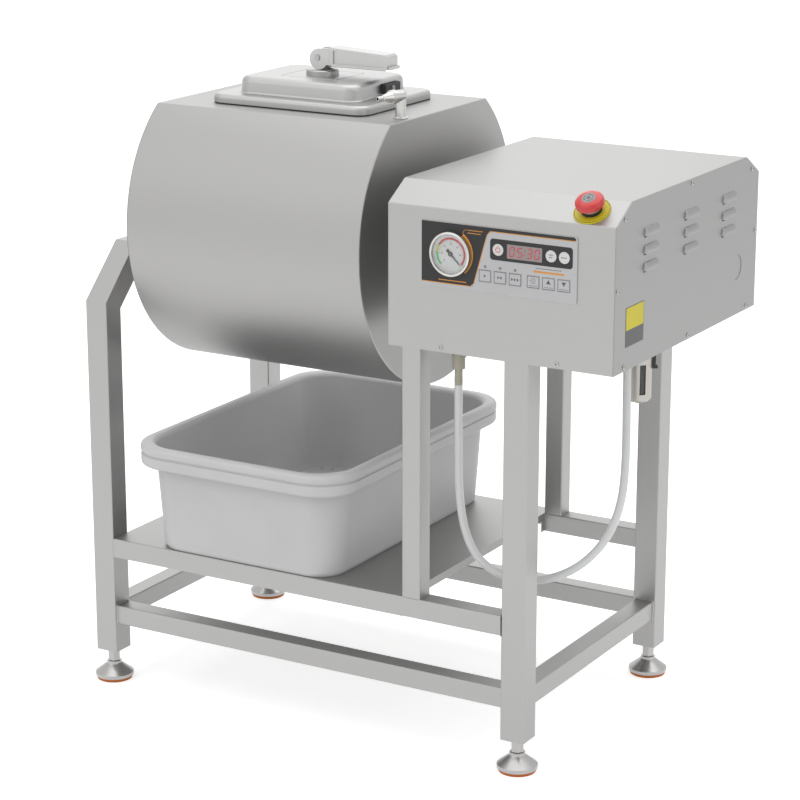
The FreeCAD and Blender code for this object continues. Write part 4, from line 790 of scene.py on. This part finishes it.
def make_module():
    """Black bezel of the display, with its window and the holes of the round keys."""
    form = bmesh.new()
    half_x, half_z = (MODULE_RIGHT - MODULE_LEFT) / 2, (MODULE_HIGH - MODULE_LOW) / 2
    rounded_loop(form, MODULE_LEFT + half_x, MODULE_LOW + half_z, half_x, half_z, 4.5)
    rounded_loop(form, WINDOW_X, WINDOW_Z, WINDOW_WIDTH / 2, WINDOW_HEIGHT / 2, 0.5)
    for name in ROUND_KEYS:
        key = middle(name)
        circle_loop(form, key.x, key.z, 8.5)
    bmesh.ops.triangle_fill(form, use_beauty=True, edges=form.edges[:], normal=(0, 0, 1))
    raise_faces(form, form.faces[:], 0.35)
    soften(form, 0.12, 2, angle=60)
    form.transform(FRONT @ at(0, 0, -0.02))
    settle(form, "display_bezel", "machine", "panel_black", [panel_black])


SEGMENTS = {"0": "abcdef", "5": "afgcd", "3": "abgcd"}


def digit(form, x, z, figure):
    """Slanted figure of a seven-segment display."""
    height, width, thick = 12.4, 6.6, 1.35
    half = height / 2
    runs = {"a": (0, half, 0), "g": (0, 0, 0), "d": (0, -half, 0), "f": (-width / 2, half / 2, 90),
            "b": (width / 2, half / 2, 90), "e": (-width / 2, -half / 2, 90), "c": (width / 2, -half / 2, 90)}
    lean = Matrix(((1, 0.13, 0, 0), (0, 1, 0, 0), (0, 0, 1, 0), (0, 0, 0, 1)))
    for name in SEGMENTS[figure]:
        across, up, angle = runs[name]
        long = (width if angle == 0 else half) / 2 - 0.35
        tip = thick / 2
        outline = [(-long, 0), (-long + tip, -tip), (long - tip, -tip), (long, 0), (long - tip, tip),
                   (-long + tip, tip)]
        place = FRONT @ at(x, z, -0.12) @ lean @ at(across, up, 0) @ turn(angle)
        add_to(form, plate(outline, 0.06), place, 1)


def make_display():
    """Display window with its lit figures."""
    form = bmesh.new()
    add_to(form, bar(WINDOW_WIDTH, WINDOW_HEIGHT, 0.1), FRONT @ at(WINDOW_X, WINDOW_Z, -0.2))
    for number, figure in enumerate("0530"):
        digit(form, WINDOW_X - 19.2 + number * 11.6 + (3.6 if number > 1 else 0), WINDOW_Z, figure)
    for up in (-2.6, 2.6):
        add_to(form, bar(1.5, 1.5, 0.06), FRONT @ at(WINDOW_X - 0.1 + up * 0.13, WINDOW_Z + up, -0.12), 1)
    settle(form, "display_window", "machine", "board", [window_film, segment_red])


def key_icon(form, name, place):
    """Printed sign on a key."""
    def stamp(part, spot=Matrix()):
        add_to(form, part, place @ spot, 1)

    if name == "key_power":
        stamp(arc_band(2.9, 3.9, 118, 304, INK, 32))
        stamp(bar(1.0, 4.4, INK), at(0, 3.2, 0))
    elif name in ROUND_KEYS:
        for level, width in ((1.7, 7.5), (-1.7, 6.0)) if name == "key_set" else ((0, 10.0),):
            for step in range(int(width / 1.8)):
                stamp(bar(1.1, 1.5, INK), at(-width / 2 + 0.9 + step * 1.8, level, 0))
    elif name in SPEED_KEYS:
        wedges = SPEED_KEYS.index(name) + 1
        for step in range(wedges):
            wedge = plate([(-1.6, -2.2), (1.8, 0), (-1.6, 2.2)], INK)
            stamp(wedge, at((step - (wedges - 1) / 2) * 4.4, 0, 0))
    elif name == "key_mode":
        wheel = at(0, 1.6, 0)
        stamp(arc_band(3.0, 3.6, 0, 359.9, INK, 32), wheel)
        stamp(arc_band(0.05, 0.8, 0, 359.9, INK, 16), wheel)
        for angle in (90, 210, 330):
            stamp(bar(0.5, 1.2, INK), wheel @ turn(angle) @ at(0, 4.3, 0))
    else:
        way = 1 if name == "key_up" else -1
        stamp(plate([(-3.5, -2.6 * way), (3.5, -2.6 * way), (0, 3.4 * way)], INK), at(0, 2.2, 0))
    if name in ("key_mode", "key_up", "key_down"):
        for step in range(6):
            stamp(bar(1.4, 0.9, INK), at(-5.5 + step * 2.2, -5.2, 0))


def make_key(name):
    """Key cap with a softened rim, its outline and its sign."""
    low, high = box(name)
    width, tall, depth = high.x - low.x, high.z - low.z, high.y - low.y
    place = FRONT @ at((low.x + high.x) / 2, (low.z + high.z) / 2, PANEL_LOW.y - high.y)
    top = place @ at(0, 0, depth - 0.001)
    face, sign = panel_light, ink_grey
    form = bmesh.new()
    if name in ROUND_KEYS:
        face = dial_white
        rim = width / 2
        cap = turned([(0, 0), (rim, 0), (rim, depth - 0.3), (rim - 0.3, depth), (0, depth)])
        add_to(form, cap, place)
    else:
        cap = soften(bar(width, tall, depth, 1.0), 0.15, 2, lambda spot: spot.z > depth - 0.1)
        add_to(form, cap, place)
        outline, *_ = loft([(width / 2 - inset, tall / 2 - inset, corner, 0)
                            for inset, corner in ((0.4, 1.0), (1.15, 0.7))])
        raise_faces(outline, outline.faces[:], INK)
        add_to(form, outline, top, 1)
    if name == "key_power":
        sign = power_red
    key_icon(form, name, top)
    settle(form, name + "_cap", name, "key_face", [face, sign], [name])


# ---- gauge
DIAL_START, DIAL_SWEEP = 225.0, -270.0
DIAL_FACE = 0.4


def numeral(text, size):
    """Plain number, centred on the origin."""
    curve = bpy.data.curves.new("numeral", "FONT")
    curve.body = text
    curve.size = size
    curve.align_x = "CENTER"
    curve.align_y = "CENTER"
    curve.fill_mode = "FRONT"
    made = bpy.data.objects.new("numeral", curve)
    mesh = bpy.data.meshes.new_from_object(made)
    form = bmesh.new()
    form.from_mesh(mesh)
    bpy.data.objects.remove(made)
    bpy.data.meshes.remove(mesh)
    bpy.data.curves.remove(curve)
    weld_points(form, 0.0001)
    raise_faces(form, form.faces[:], INK)
    return form


def make_gauge():
    """Gauge case with its bezel, and the printed dial."""
    form = bmesh.new()
    place = FRONT @ at(GAUGE.x, GAUGE.z, 0)
    case = turned([(0, -48), (5, -48), (5, -31), (28.95, -31), (28.95, 0), (32, 0), (32, 4.4), (31.2, 6.2),
                   (29.8, 7), (28.6, 6.9), (28, 6.2), (28, DIAL_FACE), (0.9, DIAL_FACE), (0.9, 2.8),
                   (0, 2.8)], 96)
    add_to(form, soften(case, 0.25, 2), place)
    dial = place @ at(0, 0, DIAL_FACE)
    add_to(form, turned([(0.95, 0), (27.95, 0), (27.95, 0.04), (0.95, 0.04), (0.95, 0)], 96), dial, 1)
    print_place = dial @ at(0, 0, 0.03)
    for start, sweep, finish in ((225, -47, 3), (178, -30, 4), (148, -188, 2)):
        add_to(form, arc_band(20.0, 23.2, start, sweep, INK, 32), print_place, finish)
    for step in range(31):
        angle = DIAL_START + DIAL_SWEEP * step / 30
        long = 3.0 if step % 5 == 0 else 1.5
        mark = bar(long, 0.45 if step % 5 == 0 else 0.25, INK)
        add_to(form, mark, print_place @ turn(angle) @ at(19.8 - long / 2, 0, 0), 5)
    for number in range(7):
        angle = math.radians(DIAL_START + DIAL_SWEEP * number / 6)
        spot = at(14.2 * math.cos(angle), 14.2 * math.sin(angle), 0)
        add_to(form, numeral(str(number * 10), 4.0), print_place @ spot, 5)
    settle(form, "gauge_dial", "machine", "gauge_metal",
           [nickel, dial_white, dial_red, dial_green, dial_yellow, ink_grey], ["gauge_case"])


def make_needle():
    """Tapered needle with a broad tail, on its hub."""
    form = bmesh.new()
    hub = turned([(0.95, 1.2), (3.2, 1.2), (3.2, 2.4), (2.6, 3.1), (0.95, 3.2), (0.95, 1.2)], 32)
    add_to(form, hub)
    outline = [(-8, -2.0), (-5.5, -2.2), (-2.2, -1.0), (2.5, -0.9), (22.5, -0.22), (22.5, 0.22), (2.5, 0.9),
               (-2.2, 1.0), (-5.5, 2.2), (-8, 2.0)]
    add_to(form, plate(outline, 0.7), turn(-45) @ at(0, 0, 1.45))
    form.transform(FRONT @ at(GAUGE.x, GAUGE.z, 0))
    settle(form, "gauge_pointer", "gauge_needle", "needle_black", [black_plastic], ["gauge_needle"])


# ---- emergency stop
ESTOP = facing((middle("estop_cap").x, BOX_LOW.y + CHAMFER_RUN / 2, BOX_HIGH.z - CHAMFER_RISE / 2),
               (0, -CHAMFER_RISE, CHAMFER_RUN))

BORE = 7.05
SIGN = at(0, 0, 24.59)


def make_estop_body():
    """Yellow plate with a dashed rim, ribbed collar and pale ring; contact block under the sheet."""
    form = merged_copy("estop_body")
    form.transform(ESTOP.inverted())
    above = [face for face in form.faces if face.calc_center_median().z > -0.001]
    bmesh.ops.delete(form, geom=above, context="FACES")
    for face in form.faces:
        face.material_index = 1
    add_to(form, soften(turned([(BORE, 0), (26, 0), (26, 2), (BORE, 2), (BORE, 0)], 96), 0.4, 2,
                        lambda place: place.z > 1.5), finish=0)
    for step in range(40):
        add_to(form, bar(1.0, 2.6, 0.06), turn(step * 9) @ at(24.6, 0, 1.99), 1)
    collar = turned([(BORE, 1.9), (14.6, 1.9), (14.6, 3.2), (13.4, 3.6), (13.4, 7.4), (BORE, 7.4),
                     (BORE, 1.9)], 64)
    add_to(form, collar, finish=1)
    for step in range(24):
        add_to(form, bar(1.6, 1.6, 3.8, 0.4), turn(step * 15) @ at(13.4, 0, 3.4), 1)
    ring = turned([(BORE, 7.3), (14.2, 7.3), (14.2, 9.0), (13.2, 9.5), (BORE, 9.5), (BORE, 7.3)], 64)
    add_to(form, ring, finish=2)
    form.transform(ESTOP)
    settle(form, "estop_plate", "machine", "estop_yellow",
           [plate_yellow, black_plastic, cream_plastic], ["estop_body"])


def make_estop_cap():
    """Red mushroom head with a pale inset and turning arrows."""
    form = bmesh.new()
    head = turned([(BORE, 17.5), (15.5, 17.5), (15.5, 13), (19.6, 13), (20.25, 13.8), (20.25, 18),
                   (19.7, 19.8), (18.2, 21.9), (15.4, 23.2), (12, 24.0), (9.7, 24.3), (9.7, 23.9),
                   (0, 23.9), (0, 20.3), (BORE, 20.3), (BORE, 17.5)], 96)
    add_to(form, head)
    inset = turned([(0, 23.8), (9.5, 23.8), (9.5, 24.3), (9.1, 24.6), (0, 24.6), (0, 23.8)], 64)
    add_to(form, inset, finish=1)
    for start in (20, 140, 260):
        add_to(form, arc_band(5.6, 6.9, start, 78, 0.08, 16), SIGN, 2)
        tip = plate([(4.6, 0), (7.9, 0), (6.2, 2.8)], 0.08)
        add_to(form, tip, turn(start + 78) @ SIGN, 2)
    add_to(form, arc_band(0.05, 2.6, 0, 359.9, 0.08, 32), SIGN, 2)
    form.transform(ESTOP)
    settle(form, "estop_head", "estop_cap", "estop_red", [estop_red, button_grey, ink_grey],
           ["estop_cap"], sharp=40)


# ---- filter and coupler
FILTER = middle("filter_head")
GLASS_RADIUS, GLASS_RISE = 17.3, 6.4


def make_filter_bowl():
    """Metal guard round the clear bowl with its drain."""
    glass_low = box("filter_bowl")[0].z + GLASS_RISE

    def paint(face):
        reach = max(math.hypot(vert.co.x - FILTER.x, vert.co.y - FILTER.y) for vert in face.verts)
        return 1 if reach < GLASS_RADIUS and face.calc_center_median().z > glass_low else 0

    dress_node("filter_bowl", [guard_metal, bowl_glass], paint)


def make_coupler_ribs():
    """Barbs on the coupler's tail and the grip rings on its collar."""
    low, high = box("hose_coupler")
    form = bmesh.new()
    for step in range(4):
        barb = turned([(5.6, 0), (6.15, 0.2), (5.7, 1.5), (5.6, 0)], 32)
        add_to(form, barb, at(0, 0, low.z + 3 + step * 2.4))
    for step in range(3):
        ring = turned([(9.4, 0), (9.75, 0.25), (9.75, 1.0), (9.4, 1.25), (9.4, 0)], 48)
        add_to(form, ring, at(0, 0, low.z + 42 + step * 3))
    centre = (low + high) / 2
    form.transform(at(centre.x, centre.y, 0))
    settle(form, "coupler_ribs", "machine", "coupler_cream", [cream_plastic])


# ---- lid
LID_LOW, LID_HIGH = box("lid_cover")
LID_HALF_X, LID_HALF_Y = (LID_HIGH.x - LID_LOW.x) / 2, (LID_HIGH.y - LID_LOW.y) / 2
DRUM_X = (LID_LOW.x + LID_HIGH.x) / 2
RIM_TOP, CROWN_TOP, LID_WALL = 12.5, 37.5, 3.0
GROOVE = 0.7
ELBOW_FOOT = (22.0, -84.0)
ELBOW_TURN = math.radians(16)


def on_outline(half_x, half_y, corner, level):
    """Test for places on a rounded rectangle round the origin, at one height."""
    def test(place):
        x = max(abs(place.x) - half_x + corner, 0)
        y = max(abs(place.y) - half_y + corner, 0)
        return abs(place.z - level) < 0.01 and abs(math.hypot(x, y) - corner) < 0.35

    return test


def make_lid():
    """Pressed lid: a rolled flange, a crown with a soft brow, and a square groove round the clamp."""
    flange, inset = (LID_HALF_X, LID_HALF_Y, 22), (LID_HALF_X - 3, LID_HALF_Y - 3, 19)
    foot, brow, bore = (104.8, 79.8, 24.8), (103.4, 78.4, 23.4), (10.05, 10.05, 10.0)
    form, *_ = loft([
        (*inset, 0), (*flange, 0), (*flange, RIM_TOP), (*foot, RIM_TOP), (*brow, CROWN_TOP),
        (49.8, 41.8, 4.0, CROWN_TOP), (49.2, 41.2, 3.6, CROWN_TOP - GROOVE),
        (47.9, 39.9, 3.0, CROWN_TOP - GROOVE), (47.3, 39.3, 2.8, CROWN_TOP),
        (*bore, CROWN_TOP), (*bore, CROWN_TOP - LID_WALL), (100, 75, 20, CROWN_TOP - LID_WALL),
        (101.6, 76.6, 21, RIM_TOP - LID_WALL), (*inset, RIM_TOP - LID_WALL),
    ], closed=True)
    outward(form)
    soften(form, 6.0, 6, on_outline(*flange, RIM_TOP))
    soften(form, 9.0, 7, on_outline(*brow, CROWN_TOP))
    soften(form, 3.5, 4, on_outline(*foot, RIM_TOP))
    form.transform(at(DRUM_X, 0, LID_LOW.z))
    settle(form, "lid_pressed", "lid", "lid_steel", [lid_steel], ["lid_cover"], sharp=40)


def make_gasket():
    """Soft seal under the flange, a little bulged at its outer edge."""
    low, high = box("lid_gasket")
    half_x, half_y, deep = LID_HALF_X - 0.2, LID_HALF_Y - 0.2, high.z - low.z
    form, *_ = loft([(half_x - 16, half_y - 16, 6.5, 0), (half_x - 0.6, half_y - 0.6, 21.4, 0),
                     (half_x, half_y, 22, deep * 0.4), (half_x - 0.3, half_y - 0.3, 21.7, deep),
                     (half_x - 16, half_y - 16, 6.5, deep)], closed=True)
    outward(form)
    form.transform(at(DRUM_X, 0, low.z))
    settle(form, "lid_seal", "lid", "gasket_rubber", [gasket_rubber], ["lid_gasket"])


def make_elbow():
    """Polished elbow: base ring, stem with a domed shoulder, and an arm with a ring and a bored nozzle."""
    form = bmesh.new()
    stem = turned([(0, 0), (10.2, 0), (10.5, 0.4), (10.5, 1.9), (10.0, 2.4), (8.3, 2.6), (7.8, 3.4),
                   (7.8, 33), (7.2, 35.6), (5.4, 37.4), (2.8, 38), (0, 38)], 48)
    add_to(form, stem)
    arm = turned([(0, -8.4), (3.5, -8.2), (6.4, -6.8), (8.2, -4.2), (8.8, -1), (8.8, 11.4), (9.2, 12),
                  (10.2, 12.4), (10.2, 19.4), (9.7, 20), (8.8, 20), (8.0, 22), (4.9, 33), (4.8, 35.4),
                  (4.2, 36), (3.5, 36.2), (3.5, 45.4), (3.1, 46), (2.3, 46), (2.1, 45), (2.1, 20),
                  (0, 20)], 48)
    add_to(form, arm, facing((0, 0, 33), (-math.sin(ELBOW_TURN), -math.cos(ELBOW_TURN), 0)))
    add_to(form, turned([(0, -10), (5, -10), (5, 0.2), (0, 0.2)], 32))
    form.transform(at(*ELBOW_FOOT, box("drum_shell")[1].z))
    settle(form, "elbow_polished", "drum", "elbow_chrome", [nickel], ["elbow"], sharp=50)


def make_lever():
    """Cam lever with the foot rails and the band ribs of its casting."""
    form = merged_copy("clamp_lever")
    low, high = box("clamp_lever")
    soften(form, 0.7, 2, angle=50)
    start, end = DRUM_X + 24, high.x - 8
    for side in (-1, 1):
        y = side * (high.y - 0.3)
        rail = soften(bar(end - start, 1.8, 2.6), 0.6, 2)
        add_to(form, rail, at((start + end) / 2, y, low.z + 5.5))
        for x in (DRUM_X + 21, DRUM_X + 27):
            rib = soften(bar(1.0, 1.2, 24.5), 0.3, 2)
            add_to(form, rib, at(x, y, low.z + 5.8))
    settle(form, "lever_cast", "clamp_lever", "lever_cast", [cast_metal], ["clamp_lever"], sharp=35)


def make_release_block():
    """Black housing of the release button, its edges eased."""
    form = merged_copy("release_block")
    soften(form, 0.4, 2, angle=60)
    dress_node("release_block", [black_plastic], form=form)


# ---- drum
DRUM_RADIUS = 230.0


def make_drum_seams():
    """Fine weld seams where the ends meet the shell, as far as its flat."""
    low, high = box("drum_shell")
    form = bmesh.new()
    axis_z = low.z + DRUM_RADIUS
    for x in (low.x, high.x):
        seam = turned([(228.6, -0.2), (229.6, 0.25), (228.6, 0.5), (227.4, 0.3), (228.6, -0.2)], 128)
        bmesh.ops.bisect_plane(seam, geom=seam.verts[:] + seam.edges[:] + seam.faces[:], clear_outer=True,
                               plane_co=(high.z - 0.6 - axis_z, 0, 0), plane_no=(1, 0, 0))
        add_to(form, seam, at(x, 0, axis_z) @ turn(-90, "Y"))
    settle(form, "drum_seams", "drum", "drum_steel", [weld_steel])


# ---- tub
TUB_LOW, TUB_HIGH = box("tub")
DRAINS = [(-135.0, 208.0), (-117.0, 213.0)]
DRAIN_RADIUS = 2.5


def make_tub():
    """Moulded tub: drafted walls, a rolled rim over a ledge, and two drain holes in its floor."""
    base, rim_top = TUB_LOW.z, TUB_HIGH.z
    centre = (TUB_LOW + TUB_HIGH) / 2
    ledge_top, ledge_low = rim_top - 16, rim_top - 34
    neck_top, under_top = ledge_top + 2.2, rim_top - 5
    rim, mouth, neck = (189, 269, 66), (169.5, 249.5, 56), (185.5, 265.5, 62)
    ledge, under = (188, 268, 64), (182.5, 262.5, 59)
    foot, bottom = (159, 239, 46), (152, 232, 39)
    form, underside, floor = loft([
        (145, 225, 32, base + 7), (147, 227, 34, base), (156.5, 236.5, 43.5, base), (*foot, base + 3),
        (170.5, 250.5, 57.5, under_top), (*under, under_top), (*under, ledge_low), (*ledge, ledge_low),
        (*ledge, ledge_top), (*neck, ledge_top), (*neck, neck_top), (*rim, neck_top), (*rim, rim_top),
        (*mouth, rim_top), (157, 237, 44, base + 22), (*bottom, base + 10),
    ])
    holes = []
    for edges, level in ((underside, base + 7), (floor, base + 10)):
        rims = []
        for x, y in DRAINS:
            verts = circle_loop(form, x, y, DRAIN_RADIUS, 24)
            bmesh.ops.translate(form, vec=(0, 0, level), verts=verts)
            rims.append(list({edge for vert in verts for edge in vert.link_edges}))
        bmesh.ops.triangle_fill(form, use_beauty=True, edges=edges + rims[0] + rims[1], normal=(0, 0, 1))
        holes.append(rims)
    for lower, upper in zip(*holes):
        bmesh.ops.bridge_loops(form, edges=lower + upper)
    outward(form)
    for width, segments, outline, level, angle in (
            (7.0, 6, rim, rim_top, 30), (8.0, 6, mouth, rim_top, 30), (3.5, 4, rim, neck_top, 30),
            (3.5, 4, ledge, ledge_top, 30), (5.0, 5, ledge, ledge_low, 30), (4.0, 4, foot, base + 3, 20),
            (7.0, 5, bottom, base + 10, 20)):
        soften(form, width, segments, on_outline(*outline, level), angle)
    form.transform(at(centre.x, centre.y, 0))
    settle(form, "tub_moulded", "tub", "tub_plastic", [tub_plastic], ["tub"], sharp=40)


# ---- nodes carried over
FINISHES = {
    "left_legs": steel_z, "right_legs": steel_z, "inner_legs": steel_z, "mid_rails": steel_x,
    "shelf": steel_x, "leg_plugs": bright_steel, "box_wrap": steel_x, "box_end_wall": steel_y,
    "box_floor": steel_x, "mains_gland": black_plastic, "pillow_block": casting_grey,
    "flange_bearing": casting_grey, "bearing_bolts": bright_steel, "drum_shafts": bright_steel,
    "gearmotor": motor_grey, "vacuum_pump": cast_metal, "control_board": board_green,
    "gauge_lens": lens_glass, "estop_plunger": black_plastic, "filter_head": guard_metal,
    "filter_lock": black_plastic, "hose_fittings": cream_plastic, "drum_shell": drum_steel,
    "opening_frame": drum_steel, "drum_baffles": drum_steel, "thrust_disc": lid_steel,
    "clamp_rod": bright_steel, "release_button": button_grey, "shaft_coupling": bright_steel,
}


make_hose()
for node, finish in FINISHES.items():
    dress_node(node, [finish])
make_left_arch()
make_low_rails()
make_welds()
make_side_panel()
make_screws()
make_label()
make_panel()
make_module()
make_display()
for node in frame["nodes"]:
    if node.startswith("key_"):
        make_key(node)
    if node.startswith("foot_"):
        make_foot(node)
make_gauge()
make_needle()
make_estop_body()
make_estop_cap()
make_filter_bowl()
make_coupler_ribs()
make_lid()
make_gasket()
make_elbow()
make_lever()
make_release_block()
make_drum_seams()
make_tub()
coupler = frame["nodes"]["hose_coupler"]
coupler.data.materials.clear()
coupler.data.materials.append(cream_plastic)


# ---- stage
FLOOR_SIZE, FLOOR_TONE, FLOOR_GLOW = 30.0, 0.82, 0.58
WORLD_LIGHT = 0.66


def make_floor():
    form = bmesh.new()
    bmesh.ops.create_grid(form, x_segments=1, y_segments=1, size=FLOOR_SIZE)
    mesh = bpy.data.meshes.new("floor")
    form.to_mesh(mesh)
    form.free()
    material = bpy.data.materials.new("floor")
    material.use_nodes = True
    tree = material.node_tree
    shader = tree.nodes["Principled BSDF"]
    shader.inputs["Base Color"].default_value = (FLOOR_TONE, FLOOR_TONE, FLOOR_TONE, 1)
    shader.inputs["Roughness"].default_value = 0.9
    shader.inputs["Emission Color"].default_value = (1, 1, 1, 1)
    path = tree.nodes.new("ShaderNodeLightPath")
    seen = add_math(tree, "MAXIMUM", path.outputs["Is Camera Ray"], path.outputs["Is Glossy Ray"])
    tree.links.new(add_range(tree, seen, 0.0, FLOOR_GLOW), shader.inputs["Emission Strength"])
    mesh.materials.append(material)
    floor = new_object("floor", mesh)


def make_world():
    world = bpy.data.worlds.new("studio")
    bpy.context.scene.world = world
    world.use_nodes = True
    tree = world.node_tree
    background = tree.nodes["Background"]
    background.inputs["Color"].default_value = (1, 1, 1, 1)
    path = tree.nodes.new("ShaderNodeLightPath")
    seen = add_math(tree, "MAXIMUM", path.outputs["Is Camera Ray"], path.outputs["Is Transmission Ray"])
    seen = add_math(tree, "MAXIMUM", seen, path.outputs["Is Glossy Ray"])
    tree.links.new(add_range(tree, seen, WORLD_LIGHT, 1.0), background.inputs["Strength"])


def add_lamp(name, place, size, power):
    data = bpy.data.lights.new(name, "AREA")
    data.shape = "RECTANGLE"
    data.size, data.size_y = size
    data.energy = power
    lamp = new_object(name, data)
    lamp.location = place
    lamp.rotation_euler = (Vector(place) - Vector((0, 0, 0.5))).to_track_quat("Z", "Y").to_euler()


make_floor()
make_world()
add_lamp("key_lamp", (-1.6, -3.4, 3.2), (4.0, 4.0), 28)
add_lamp("top_lamp", (0.0, 0.6, 3.8), (4.0, 4.0), 60)
add_lamp("back_lamp", (-2.4, 3.6, 2.2), (3.0, 2.0), 13)
add_lamp("side_lamp", (3.6, -0.6, 1.8), (1.8, 2.2), 8)
bpy.context.scene.view_settings.view_transform = "Standard"
